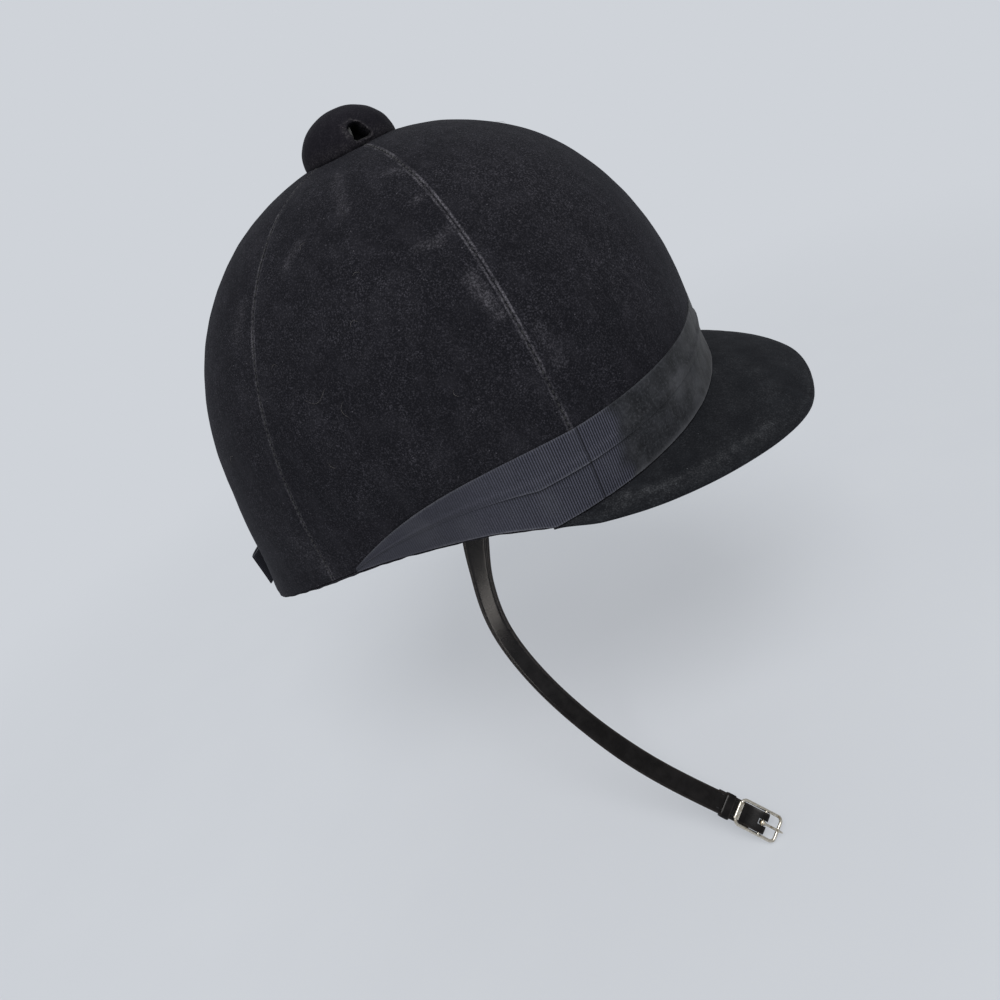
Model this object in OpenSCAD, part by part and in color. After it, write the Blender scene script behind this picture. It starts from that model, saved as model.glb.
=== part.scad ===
// Velvet covered riding cap with a button on top, a peak, a ribbon band and a two part chin strap.
// Millimetres, +X forward, +Y left, +Z up, origin in the middle of the head opening.

/* [Crown] */
// Outside length of the crown ahead of the origin
crown_front = 117; // [95:0.5:135]
// Outside length of the crown behind the origin
crown_back = 119; // [95:0.5:135]
// Half width of the crown at the widest point
crown_half_width = 100.3; // [75:0.1:120]
// Height of the crown above the origin
crown_height = 156.7; // [120:0.1:190]
// Height up to which the front wall stays upright
wall_height = 20; // [5:1:40]
// Fullness of the crown seen from the side (2 is an ellipse)
side_fullness = 2.215; // [1.8:0.005:3]
// Fullness of the crown seen from above (2 is an ellipse)
plan_fullness = 2.35; // [2:0.05:3.5]
// How far the top sits forward of the middle
top_shift = 4; // [-10:0.1:10]
// How much wider the front is than the back, as a share
front_wider = 0.005; // [0:0.001:0.1]
// Outward flare of the back lower edge, as a share
nape_flare = 0.05; // [0:0.005:0.1]
// Fullness of the back corners between nape and sides, as a share
nape_full = 0.12; // [0:0.01:0.2]
// Height of the lower edge at the sides
rim_side = 15.7; // [0:0.1:30]
// Height of the lower edge under the peak
rim_front = 5; // [-5:0.1:15]
// Height of the lower edge at the back
rim_back = -20.3; // [-40:0.1:0]
// Angle of the front seams from straight ahead
seam_front = 54.3; // [45:0.1:60]
// Angle of the back seams from straight ahead
seam_back = 112.2; // [100:0.1:130]

/* [Layers] */
// Thickness of the velvet cover
velvet = 1.0; // [0.5:0.1:2]
// Thickness of the hard shell
shell = 3.0; // [2:0.1:5]
// Thickness of the cork liner
cork = 5.0; // [3:0.5:12]
// Thickness of the satin lining
satin = 0.6; // [0.4:0.1:1.5]
// Thickness of the foam behind the headband
foam = 4.6; // [4.4:0.1:6]
// Thickness of the leather headband
headband = 1.5; // [1:0.1:3]
// Height of the leather headband
headband_height = 36; // [20:1:50]
// Thickness of the binding under the lower edge
binding = 1.4; // [0.8:0.1:3]

/* [Peak] */
// How far the peak stands out at the front, along its slope
peak_out = 42.5; // [25:0.5:70]
// Angle at which the peak outline would reach the crown
peak_angle = 64.3; // [63:0.1:80]
// Fullness of the peak outline (1 is a plain cosine, less is fuller)
peak_full = 1.2; // [0.5:0.01:1.5]
// Slope of the peak below level in front
peak_droop = 24.0; // [5:0.1:40]
// How much flatter the slope is at the ends
peak_flatter = 2.0; // [0:0.1:15]
// Share of the side angle that the peak turns outward
peak_turn = 0.72; // [0.2:0.01:1]
// Height at which the peak top meets the crown in front
peak_root = 15.7; // [10:0.1:25]
// How much lower the peak meets the crown at its ends
peak_root_fall = 8.2; // [0:0.1:20]
// Thickness of each peak cover, measured upright
peak_cover = 0.8; // [0.6:0.1:2]
// Thickness of the peak board, measured upright
peak_board = 2.0; // [1.5:0.1:5]
// How far the peak edge binding stands out
peak_bead = 1.2; // [1:0.1:3]

/* [Ribbon] */
// Height of the ribbon top edge in front
ribbon_top = 44.5; // [35:0.5:55]
// Thickness of the ribbon
ribbon = 0.6; // [0.5:0.1:1.5]
// How far the lower ribbon edge stands off in front
ribbon_flare = 1.1; // [0:0.1:3]
// Half length of the bow at the back
bow_half = 51; // [20:1:60]
// Height of the bow
bow_high = 17.5; // [10:0.5:25]
// Thickness of the bow over both layers
bow_deep = 2.6; // [2.2:0.1:8]
// How far the ends of the bow stand off from the crown
bow_lift = 2.4; // [2:0.1:5]

/* [Button] */
// Radius of the covered button
button_r = 21.0; // [14:0.1:26]
// Height of the covered button
button_high = 16.8; // [12:0.1:24]
// Thickness of the button cover
button_skin = 1.2; // [0.8:0.1:2]
// Angle of the button vents from straight ahead
vent_angle = 47; // [20:1:80]
// Diameter of the button bolt
bolt_d = 4; // [3:0.5:6]

/* [Strap] */
// Strap width
strap_w = 9.0; // [7:0.1:14]
// Strap thickness
strap_t = 1.7; // [1.2:0.1:2.2]
// Distance of the strap rivet ahead of the middle
rivet_x = 24.6; // [15:0.1:30]
// Height of the strap rivet
rivet_z = 27; // [22:0.1:32]
// Diameter of the rivet shank
rivet_d = 3.0; // [2.5:0.1:4]
// Radial clearance of the strap hole on the rivet
rivet_fit = 0.05; // [0.02:0.01:0.1]
// Lean of the buckle strap where it leaves the cap
strap_lean = 21.2; // [-20:1:30]
// Twist of the buckle strap over its length
strap_twist = 48; // [0:1:90]
// Number of holes in the hole strap
holes = 5; // [3:1:8]
// Distance between the strap holes
hole_pitch = 11; // [8:0.5:16]
// Diameter of the strap holes
hole_d = 2.6; // [2:0.1:4]

/* [Buckle] */
// Diameter of the buckle wire
wire_d = 1.4; // [1:0.1:2.5]
// Radial clearance on the middle bar
bar_fit = 0.05; // [0.02:0.01:0.1]
// Distance from the middle bar to the near bar
bar_near = 11.5; // [8:0.1:16]
// Distance from the middle bar to the far bar
bar_far = 7.5; // [5:0.1:12]
// Side clearance of the buckle frame on the strap
frame_gap = 0.25; // [0.1:0.05:1]
// Length of the folded strap end
fold_len = 22; // [20:0.5:30]

/* [Hidden] */
$fn = 48;
slip = 0.05;
seat_gap = 0.3;
d_shell = velvet;
d_cork = velvet + shell;
d_satin = d_cork + cork;
d_foam = d_satin + satin;
d_band = d_foam + foam + seat_gap;
d_inner = d_band + headband;
front_steps = 14;
side_steps = 8;
rear_steps = 18;
cap_rows = 12;
top_row_angle = 86.9;

// Columns of the crown grid, counter clockwise from the right front seam, and how many there are
cols = concat(
    [for (i = [0:front_steps - 1]) -seam_front + 2 * seam_front * i / front_steps],
    [for (i = [0:side_steps - 1]) seam_front + (seam_back - seam_front) * i / side_steps],
    [for (i = [0:rear_steps - 1]) seam_back + (360 - 2 * seam_back) * i / rear_steps],
    [for (i = [0:side_steps - 1]) 360 - seam_back + (seam_back - seam_front) * i / side_steps]);
n_cols = len(cols);
i_left = front_steps;
i_rear = i_left + side_steps;
i_right = i_rear + rear_steps;
peak_end = seam_front + (seam_back - seam_front) / side_steps;

function wrap(t) = t > 180 ? t - 360 : t;
function unit(v) = v / norm(v);
function mix(a, b, f) = a + (b - a) * f;
function lim(v, a, b) = max(a, min(b, v));
function ease(f) = f * f * (3 - 2 * f);
function spin(v, k, a) = v * cos(a) + cross(k, v) * sin(a) + k * (k * v) * (1 - cos(a));

// A point of the outside of the crown at angle t and height z
function crown(t, z) =
    let (c = cos(t), s = sin(t),
         up = lim((z - wall_height) / (crown_height - wall_height), 0, 1),
         lo = lim((wall_height - z) / wall_height, 0, 2),
         r = pow(max(0, 1 - pow(up, side_fullness)), 1 / side_fullness)
             + nape_flare * s * s * lim(-4 * c, 0, 1) * lo * lo
             + nape_full * pow(s * min(c, 0), 2) * ease(lim((55 - z) / 50, 0, 1)),
         q = pow(pow(abs(c), plan_fullness) + pow(abs(s), plan_fullness), -1 / plan_fullness))
    [top_shift * up * up + (c < 0 ? crown_back : crown_front) * r * q * c,
     crown_half_width * r * q * s * (1 + front_wider * c), z];
// The outward direction there
function out(t, z) =
    unit(cross(crown(t + 0.5, z) - crown(t - 0.5, z), crown(t, z + 0.02) - crown(t, z - 0.02)));
// The same point moved inward by d
function deep(t, z, d) = crown(t, z) - d * out(t, z);

function rim(t) =
    let (c = cos(t), f = ease(min(1, c * c / 0.3)))
    c > 0 ? rim_side + (rim_front - rim_side) * f : rim_side + (rim_back - rim_side) * c * c;
function in_peak(t) = abs(wrap(t)) < peak_end + 0.1;
function root(t) = peak_root - peak_root_fall * pow(abs(wrap(t)) / peak_angle, 2);
// Heights of the first two rows of the crown grid
function row_one(t) = in_peak(t) ? root(t) + 1.2 : rim(t) + 4;
function cover_low(t) = in_peak(t) ? root(t) + 0.2 : rim(t);
function row_z(t, j, low) = j == 0 ? low
    : row_one(t) + (crown_height - row_one(t)) * sin((j - 1) * top_row_angle / cap_rows);

// Closed solid between two grids of points: a[i][j] outside and b[i][j] inside
module skin(a, b, ring = false) {
    n = len(a);
    m = len(a[0]);
    last = ring ? n - 1 : n - 2;
    pts = concat([for (c = a) each c], [for (c = b) each c]);
    o = n * m;
    function id(i, j) = (i % n) * m + j;
    faces = concat(
        [for (i = [0:last], j = [0:m - 2]) each
            [[id(i, j), id(i, j + 1), id(i + 1, j + 1)], [id(i, j), id(i + 1, j + 1), id(i + 1, j)],
             [o + id(i, j), o + id(i + 1, j + 1), o + id(i, j + 1)],
             [o + id(i, j), o + id(i + 1, j), o + id(i + 1, j + 1)]]],
        [for (i = [0:last]) each
            [[id(i, 0), id(i + 1, 0), o + id(i + 1, 0)], [id(i, 0), o + id(i + 1, 0), o + id(i, 0)],
             [id(i, m - 1), o + id(i + 1, m - 1), id(i + 1, m - 1)],
             [id(i, m - 1), o + id(i, m - 1), o + id(i + 1, m - 1)]]],
        ring ? [] : [for (j = [0:m - 2]) each
            [[id(0, j), o + id(0, j), o + id(0, j + 1)], [id(0, j), o + id(0, j + 1), id(0, j + 1)],
             [id(n - 1, j), o + id(n - 1, j + 1), o + id(n - 1, j)],
             [id(n - 1, j), id(n - 1, j + 1), o + id(n - 1, j + 1)]]]);
    polyhedron(pts, faces);
}

// A layer of the crown between depths d0 and d1, over grid columns i0 to i1 and rows up to top
module layer(d0, d1, i0, i1, ring, top, covered) {
    idx = [for (i = [i0:i1]) i % n_cols];
    function low(t) = covered ? cover_low(t) : rim(t);
    skin([for (i = idx) [for (j = [0:top]) deep(cols[i], row_z(cols[i], j, low(cols[i])), d0)]],
         [for (i = idx) [for (j = [0:top]) deep(cols[i], row_z(cols[i], j, low(cols[i])), d1)]], ring);
}
rows_full = cap_rows + 1;
rows_open = cap_rows;

module hard_shell() color("dimgray") difference() {
    layer(d_shell, d_cork, 0, n_cols - 1, true, rows_full, false);
    rivet_holes();
}
module velvet_front() color("#1b1b1f") layer(0, velvet, 0, i_left, false, rows_full, true);
module velvet_left() color("#1c1c20") layer(0, velvet, i_left, i_rear, false, rows_full, true);
module velvet_rear() color("#1b1b1f") layer(0, velvet, i_rear, i_right, false, rows_full, true);
module velvet_right() color("#1c1c20") layer(0, velvet, i_right, n_cols, false, rows_full, true);
module cork_liner() color("peru") difference() {
    layer(d_cork, d_satin, 0, n_cols - 1, true, rows_open, false);
    rivet_holes();
}
module satin_lining() color("#5a1a24") difference() {
    layer(d_satin, d_foam, 0, n_cols - 1, true, rows_open, false);
    rivet_holes();
}

// Velvet strip on the wall below the peak
facing = [for (i = [1:front_steps - 1]) cols[i]];
module front_facing() color("#202024")
    skin([for (t = facing) [deep(t, rim(t), 0),
                            deep(t, root(t) - peak_thick - 0.1 - velvet * tan(peak_slope(t)), 0)]],
         [for (t = facing) [deep(t, rim(t), velvet), deep(t, root(t) - peak_thick - 0.1, velvet)]]);

// Binding ring that closes the lower edge
pocket_from = seam_front + 2 * (seam_back - seam_front) / side_steps;
pocket_to = seam_front + 6 * (seam_back - seam_front) / side_steps;
function in_pocket(t) = let (a = abs(wrap(t))) a > pocket_from - 0.1 && a < pocket_to + 0.1;
function ring_out(t) = in_peak(t) ? velvet : 0;
function ring_in(t) = in_pocket(t) ? d_foam : d_inner;
module rim_binding() color("#232327")
    skin([for (t = cols) [deep(t, rim(t), ring_out(t)) - [0, 0, seat_gap + binding],
                          deep(t, rim(t), ring_out(t)) - [0, 0, seat_gap]]],
         [for (t = cols) [deep(t, rim(t), ring_in(t)) - [0, 0, seat_gap + binding],
                          deep(t, rim(t), ring_in(t)) - [0, 0, seat_gap]]], true);

// Headband and the foam behind it
function on_row(t, j, d) = deep(t, row_z(t, j, rim(t)), d);
// A point at height z on the flat facets between the second and fourth row
function on_facet(t, z, d) =
    let (j = z > row_z(t, 2, rim(t)) ? 2 : 1, a = row_z(t, j, rim(t)), b = row_z(t, j + 1, rim(t)))
    mix(on_row(t, j, d), on_row(t, j + 1, d), (z - a) / (b - a));
function strip(t, h, d) = [on_row(t, 0, d), on_row(t, 1, d),
    on_facet(t, min(row_z(t, 2, rim(t)), rim(t) + 0.8 * h), d), on_facet(t, rim(t) + h, d)];
module sweatband() color("saddlebrown")
    skin([for (t = cols) strip(t, headband_height, d_band)],
         [for (t = cols) strip(t, headband_height, d_inner)], true);
module foam_strip(list) color("gainsboro")
    skin([for (t = list) strip(t, headband_height - 3, d_foam + seat_gap / 2)],
         [for (t = list) strip(t, headband_height - 3, d_foam + foam)]);
module foam_front() foam_strip([for (i = [-2:front_steps + 2]) cols[(i + n_cols) % n_cols]]);
module foam_rear() foam_strip([for (i = [i_left + 6:i_right + 2]) cols[i]]);
module crown_pad() color("#5a1a24") translate([top_shift, 0, 0]) difference() {
    intersection() {
        translate([0, 0, crown_height - 20]) cylinder(r = pad_r, h = 12, $fn = 64);
        translate([0, 0, pad_top - pad_curve]) sphere(r = pad_curve, $fn = 96);
    }
    translate([0, 0, pad_top - 5 - pad_curve]) sphere(r = pad_curve, $fn = 96);
}
pad_r = 28;
pad_curve = 124;
pad_top = crown_height - d_foam - 2;

// Peak: twice as many columns as the crown, roots on the flat facets of the shell
peak_thick = 2 * peak_cover + peak_board;
peak_t = [for (i = [-1:front_steps + 1]) wrap(cols[(i + n_cols) % n_cols])];
peak_root_pts = [for (t = peak_t) deep(t, root(t), velvet)];
peak_n = 2 * (len(peak_t) - 1);
function peak_a(k) = k % 2 == 0 ? peak_t[k / 2] : (peak_t[(k - 1) / 2] + peak_t[(k + 1) / 2]) / 2;
function peak_r(k) = k % 2 == 0 ? peak_root_pts[k / 2]
    : (peak_root_pts[(k - 1) / 2] + peak_root_pts[(k + 1) / 2]) / 2;
function peak_e(t) = peak_out * pow(cos(90 * abs(t) / peak_angle), peak_full);
function peak_slope(t) = peak_droop - peak_flatter * pow(t / peak_angle, 2);
function peak_pt(k, f, down) =
    let (t = peak_a(k), e = peak_e(t), g = peak_slope(t))
    peak_r(k) + [cos(t * peak_turn) * cos(g) * e * f, sin(t * peak_turn) * cos(g) * e * f,
                 -sin(g) * e * (0.8 * f + 0.2 * pow(f, 4)) - down];
peak_f = [0, 0.3, 0.55, 0.75, 0.9, 1];
module peak_layer(d0, d1)
    skin([for (k = [0:peak_n]) [for (i = [len(peak_f) - 1:-1:0]) peak_pt(k, peak_f[i], d0)]],
         [for (k = [0:peak_n]) [for (i = [len(peak_f) - 1:-1:0]) peak_pt(k, peak_f[i], d1)]]);
module peak_top_cover() color("#1d1d21") peak_layer(0, peak_cover);
module peak_core() color("dimgray") peak_layer(peak_cover, peak_cover + peak_board);
module peak_under_cover() color("#26262a") peak_layer(peak_cover + peak_board, peak_thick);
// Rounded binding along the free edge
bead = [[0, 0.25], [0.55, 0.1], [0.9, -0.25], [1, -0.5], [0.9, -0.75], [0.55, -1.1], [0, -1.25]];
function edge_out(k) =
    let (a = peak_pt(max(0, k - 1), 1, 0), b = peak_pt(min(peak_n, k + 1), 1, 0), t = b - a)
    unit([t[1], -t[0], 0]);
module peak_edge() color("#2a2a2e")
    skin([for (k = [0:peak_n]) [for (p = bead)
             peak_pt(k, 1, -p[1] * bead_h(p[1])) + edge_out(k) * p[0] * peak_bead]],
         [for (k = [0:peak_n]) [for (p = bead) peak_pt(k, 1, lim(-p[1] * bead_h(p[1]), 0, peak_thick))]]);
function bead_h(v) = v > 0 ? 1.2 : peak_thick * 0.9;

// Ribbon band in two laps
function ribbon_hi(t) = let (a = abs(t), b = max(0, a - 54))
    ribbon_top - 3.5 * pow(min(a, 54) / 54, 2) - 0.02 * b - 0.0009 * pow(b, 2.6);
function ribbon_lo(t) = in_peak(t) ? root(t) + 0.3 : rim(t) + 0.2;
ribbon_t = [for (i = [-side_steps + 1:front_steps + side_steps - 1]) wrap(cols[(i + n_cols) % n_cols])];
function flare(t) = ribbon_flare * pow(max(0, cos(1.4 * t)), 2);
function rib(t, f, d) = deep(t, mix(ribbon_lo(t), ribbon_hi(t), f), -d);
// The upper lap lies over the top edge of the lower one
lap_f = [0.53, 0.62, 0.67, 0.85, 1];
lap_d = [for (f = lap_f) f < 0.65 ? 2 * slip + ribbon : slip];
module ribbon_upper() color("#33343b")
    skin([for (t = ribbon_t) [for (i = [0:len(lap_f) - 1]) rib(t, lap_f[i], lap_d[i] + ribbon)]],
         [for (t = ribbon_t) [for (i = [0:len(lap_f) - 1]) rib(t, lap_f[i], lap_d[i])]]);
lower_f = [0, 0.25, 0.45, 0.6];
function flared(t, f) = flare(t) * (f > 0.3 ? 0 : f > 0.1 ? 0.25 : 1);
module ribbon_lower() color("#2f3037")
    skin([for (t = ribbon_t) [for (f = lower_f) rib(t, f, slip + ribbon + flared(t, f))]],
         [for (t = ribbon_t) [for (f = lower_f) rib(t, f, slip + flared(t, f))]]);

// Bow at the back: a flattened loop of ribbon that follows the crown, and the knot around it
bow_z = -6.5;
bow_gap = 3 * slip + ribbon;
bow_turn = 0.59;
bow_steps = 24;
function bow_at(u, w) =
    let (t = 180 + bow_turn * u * bow_half, a = crown(t - 0.5, 0), b = crown(t + 0.5, 0),
         n = unit([b[1] - a[1], a[0] - b[0]]), p = crown(t, 0))
    [p[0], p[1]] + n * (bow_gap + bow_deep / 2 + bow_lift * u * u + w);
module bow_outline(l, h) {
    us = [for (i = [0:bow_steps]) -cos(180 * i / bow_steps)];
    polygon(concat([for (u = us) bow_at(l * u, h * sqrt(1 - pow(u, 10)))],
        [for (i = [bow_steps - 1:-1:1]) bow_at(l * us[i], -h * sqrt(1 - pow(us[i], 10)))]));
}
module bow_loops() color("#33343b") translate([0, 0, bow_z]) linear_extrude(bow_high) difference() {
    bow_outline(1, bow_deep / 2);
    bow_outline(1 - ribbon / bow_half, bow_deep / 2 - ribbon);
}
module bow_knot() color("#2f3037") translate([-crown_back - bow_gap - bow_deep / 2, 0, bow_z + bow_high / 2])
    rotate([90, 0, 0]) linear_extrude(12, center = true) difference() {
        square([bow_deep + 4 * slip + 2 * ribbon, bow_high + 2 * slip + 2 * ribbon], center = true);
        square([bow_deep + 4 * slip, bow_high + 2 * slip], center = true);
    }

// Button on top
button_z = crown_height - 1.0;
dish_r = 146;
module vents() for (s = [-1, 1]) translate([top_shift, 0, button_z]) rotate([0, 0, s * vent_angle])
    rotate([0, 90 - 15, 0]) translate([0, 0, button_r - 8]) linear_extrude(13) {
        translate([-2.6, 0]) circle(r = 2.4);
        polygon([[-2.6, -2.4], [-2.6, 2.4], [2.4, 3.6], [3.4, 2.6], [3.4, -2.6], [2.4, -3.6]]);
    }
module dome(r, h, low) rotate_extrude($fn = 96)
    polygon(concat([[0, -low], [r, -low]], [for (a = [0:6:90]) [r * cos(a), h * sin(a)]]));
module dish() translate([top_shift, 0, crown_height + 0.08 - dish_r]) sphere(r = dish_r, $fn = 180);
module button_cover() color("#1f1e24") difference() {
    translate([top_shift, 0, button_z]) difference() {
        dome(button_r, button_high, 1);
        dome(button_r - button_skin, button_high - button_skin, 3);
    }
    dish();
    vents();
}
module button_core() color("burlywood") difference() {
    translate([top_shift, 0, button_z])
        dome(button_r - button_skin - slip, button_high - button_skin - slip, 1);
    dish();
    vents();
    translate([top_shift, 0, 0]) cylinder(d = bolt_d, h = crown_height + 10);
}
washer_top = crown_height - d_cork - 0.45;
module button_bolt() color("silver") translate([top_shift, 0, washer_top - 6.4])
    cylinder(d = bolt_d, h = crown_height + 10 - washer_top + 6.4);
module button_washer() color("silver") translate([top_shift, 0, washer_top - 1.2]) difference() {
    cylinder(d = 18, h = 1.2);
    translate([0, 0, -1]) cylinder(d = bolt_d, h = 4);
}
module button_nut() color("silver") translate([top_shift, 0, washer_top - 1.2 - 3.2]) difference() {
    cylinder(d = 7 / cos(30), h = 3.2, $fn = 6);
    translate([0, 0, -1]) cylinder(d = bolt_d, h = 6);
}

// Strap rivets. The strap lies flat in the pocket between lining and headband.
strap_front = rivet_x + strap_w / 2 + 0.7;
lining_y = crown_half_width * pow(1 - pow(strap_front / crown_front, plan_fullness), 1 / plan_fullness)
    - d_foam;
washer_seat = 0.35;
washer_t = 0.7;
strap_y = lining_y - washer_seat - washer_t - slip - strap_t / 2;
head_y = strap_y - strap_t / 2 - slip;
module both_sides() { children(); mirror([0, 1, 0]) children(); }
module rivet_holes() both_sides() translate([rivet_x, -lining_y + 5, rivet_z]) rotate([90, 0, 0])
    cylinder(d = rivet_d, h = shank_end - lining_y + 5);
shank_end = lining_y + d_foam - velvet - 1;
module strap_rivets() color("silver") both_sides() translate([rivet_x, 0, rivet_z]) {
    translate([0, -head_y, 0]) rotate([90, 0, 0]) cylinder(d = rivet_d, h = shank_end - head_y);
    translate([0, -head_y + 0.7, 0]) rotate([90, 0, 0]) cylinder(d = 7, h = 0.7);
}
module strap_washers() color("silver") both_sides() translate([rivet_x, -lining_y + washer_seat, rivet_z])
    rotate([-90, 0, 0]) difference() {
        cylinder(d = 7, h = washer_t);
        translate([0, 0, -1]) cylinder(d = rivet_d, h = 3);
    }

// Strap paths: a straight part, a curve and a straight end
curve_steps = 20;
exit_z = rivet_z - 15;
function bez(p, f) = pow(1 - f, 3) * p[0] + 3 * pow(1 - f, 2) * f * p[1] + 3 * (1 - f) * f * f * p[2]
    + pow(f, 3) * p[3];
function bez_dir(p, f) = unit(pow(1 - f, 2) * (p[1] - p[0]) + 2 * (1 - f) * f * (p[2] - p[1])
    + f * f * (p[3] - p[2]));
function square_to(v, t) = unit(v - t * (v * t));
// Corners of one cross section at point p, direction t, face direction n, width w
function section(p, t, n, w) = let (s = cross(n, t), h = strap_t / 2)
    [p + s * w / 2 + n * h, p - s * w / 2 + n * h, p - s * w / 2 - n * h, p + s * w / 2 - n * h];
module sweep(rings) {
    n = len(rings);
    faces = concat([[0, 1, 2, 3]], [for (i = [0:n - 2], j = [0:3]) each
        [[4 * i + j, 4 * i + 4 + (j + 1) % 4, 4 * i + (j + 1) % 4],
         [4 * i + j, 4 * i + 4 + j, 4 * i + 4 + (j + 1) % 4]]],
        [[4 * n - 1, 4 * n - 2, 4 * n - 3, 4 * n - 4]]);
    polyhedron([for (r = rings) each r], faces);
}
round_end = strap_w - 0.1;
module strap_eye(side) translate([rivet_x, side * strap_y, rivet_z]) rotate([90, 0, 0])
    cylinder(d = round_end, h = strap_t - 0.02, center = true);
module strap_bore(side) translate([rivet_x, side * strap_y, rivet_z]) rotate([90, 0, 0])
    cylinder(d = rivet_d + 2 * rivet_fit, h = strap_t + 2, center = true);

// Buckle strap on the right
bar_at = [rivet_x + 64.7, -strap_y - 20.8, rivet_z - 182.8];
end_dir = unit([0.764, -0.186, -0.618]);
lean_dir = [-sin(strap_lean), 0, -cos(strap_lean)];
fold_at = bar_at - end_dir * fold_len;
exit_r = [rivet_x, -strap_y, rivet_z] + lean_dir * (rivet_z - exit_z) / cos(strap_lean);
path_r = [exit_r, exit_r + lean_dir * 65.6, fold_at - end_dir * 74.6, fold_at];
function face_r(t, f) = spin(square_to([0, -1, 0], t), t, -strap_twist * ease(f));
end_face = face_r(end_dir, 1);
end_side = cross(end_face, end_dir);
module at_bar() multmatrix([
    [end_dir[0], end_side[0], end_face[0], bar_at[0]],
    [end_dir[1], end_side[1], end_face[1], bar_at[1]],
    [end_dir[2], end_side[2], end_face[2], bar_at[2]], [0, 0, 0, 1]]) children();
lobe_r = wire_d / 2 + bar_fit + 1.25;
fold_low = strap_t / 2 + 1.3;
fold_high = strap_t / 2 + 0.15;
fold_w = strap_w + 0.2;
module fold() rotate([90, 0, 0]) linear_extrude(fold_w, center = true) difference() {
    union() {
        circle(r = lobe_r);
        polygon([[0, lobe_r], [-7, fold_high], [-fold_len, fold_high], [-fold_len, -fold_high],
                 [-fold_len + 1.5, -fold_low], [-6, -fold_low], [0, -lobe_r]]);
    }
    circle(r = wire_d / 2 + bar_fit);
}
module buckle_strap() color("#26262a") difference() {
    union() {
        strap_eye(-1);
        sweep(concat(
            [section([rivet_x, -strap_y, rivet_z], lean_dir, [0, -1, 0], strap_w)],
            [for (i = [0:curve_steps]) let (f = i / curve_steps, t = bez_dir(path_r, f))
                section(bez(path_r, f), t, face_r(t, f), strap_w)],
            [section(bar_at - end_dir * (fold_len - 2), end_dir, end_face, strap_w)]));
        at_bar() fold();
    }
    strap_bore(-1);
    at_bar() translate([-4.5, -tongue_slot / 2, -5]) cube([12, tongue_slot, 10]);
}
keeper_at = -16;
module strap_keeper() color("#222226") at_bar() translate([keeper_at, 0, 0]) rotate([0, 90, 0])
    linear_extrude(4, center = true) translate([(fold_low - fold_high) / 2, 0]) difference() {
        square([fold_low + fold_high + 2.2, fold_w + 2.2], center = true);
        square([fold_low + fold_high + 0.2, fold_w + 0.1], center = true);
    }

// Buckle frame with its middle bar, tilted over the strap
tilt = asin((fold_high + wire_d / 2 + 0.15) / bar_near);
rail = fold_w / 2 + frame_gap + wire_d / 2;
bend_r = 1.8;
module tilted() at_bar() rotate([0, tilt, 0]) children();
module wire(p, len, dir) translate(p) rotate(dir) cylinder(d = wire_d, h = len, center = true, $fn = 32);
module buckle_frame() color("silver") tilted() {
    for (s = [-1, 1]) {
        wire([(bar_far - bar_near) / 2, s * rail, 0], bar_far + bar_near - 2 * bend_r, [0, 90, 0]);
        for (e = [[-bar_near, 1], [bar_far, -1]])
            translate([e[0] + e[1] * bend_r, s * (rail - bend_r), 0])
                rotate([0, 0, e[1] > 0 ? (s > 0 ? 90 : 180) : (s > 0 ? 0 : 270)])
                    rotate_extrude(angle = 90) translate([bend_r, 0]) circle(d = wire_d, $fn = 32);
    }
    for (x = [-bar_near, bar_far]) wire([x, 0, 0], 2 * (rail - bend_r), [90, 0, 0]);
    wire([0, 0, 0], 2 * rail, [90, 0, 0]);
}
tongue_slot = 2.3;
tongue_w = 1.9;
tongue_d = 1.1;
tongue_rise = wire_d / 2 + tongue_d / 2 + 0.03;
tongue_len = bar_far + 2;
module buckle_tongue() color("silver") tilted() difference() {
    union() {
        rotate([90, 0, 0]) cylinder(r = wire_d / 2 + bar_fit + 0.7, h = tongue_w, center = true, $fn = 32);
        translate([0, 0, tongue_rise]) rotate([0, 90, 0]) cylinder(d = tongue_d, h = tongue_len, $fn = 32);
        translate([tongue_len, 0, tongue_rise]) sphere(d = tongue_d, $fn = 32);
    }
    rotate([90, 0, 0]) cylinder(r = wire_d / 2 + bar_fit, h = 6, center = true, $fn = 32);
}

// Hole strap on the left
hole_dir = unit([-0.12, -0.07, -1]);
bend_at = [rivet_x - 18, strap_y - 1.6, rivet_z - 50];
hole_lean = [-0.36, 0, -1];
bend_run = 12;
exit_l = [rivet_x, strap_y, rivet_z] + hole_lean * (rivet_z - exit_z);
path_l = [exit_l, exit_l + hole_lean * bend_run, bend_at - hole_dir * bend_run, bend_at];
hole_len = holes * hole_pitch + 12;
hole_face = square_to([0, 1, 0], hole_dir);
hole_side = cross(hole_face, hole_dir);
module at_hole(s) multmatrix([
    [hole_dir[0], hole_side[0], hole_face[0], bend_at[0] + hole_dir[0] * s],
    [hole_dir[1], hole_side[1], hole_face[1], bend_at[1] + hole_dir[1] * s],
    [hole_dir[2], hole_side[2], hole_face[2], bend_at[2] + hole_dir[2] * s], [0, 0, 0, 1]]) children();
module hole_strap() color("#26262a") difference() {
    union() {
        strap_eye(1);
        sweep(concat(
            [section([rivet_x, strap_y, rivet_z], unit(hole_lean), [0, 1, 0], strap_w)],
            [for (i = [0:12]) let (f = i / 12, t = bez_dir(path_l, f))
                section(bez(path_l, f), t, square_to([0, 1, 0], t), strap_w)],
            [section(bend_at + hole_dir * hole_len, hole_dir, hole_face, strap_w)]));
        at_hole(hole_len) cylinder(d = round_end, h = strap_t - 0.02, center = true);
    }
    strap_bore(1);
    for (i = [0:holes - 1]) at_hole(hole_len - 5 - i * hole_pitch) cylinder(d = hole_d, h = 6, center = true);
}

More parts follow.
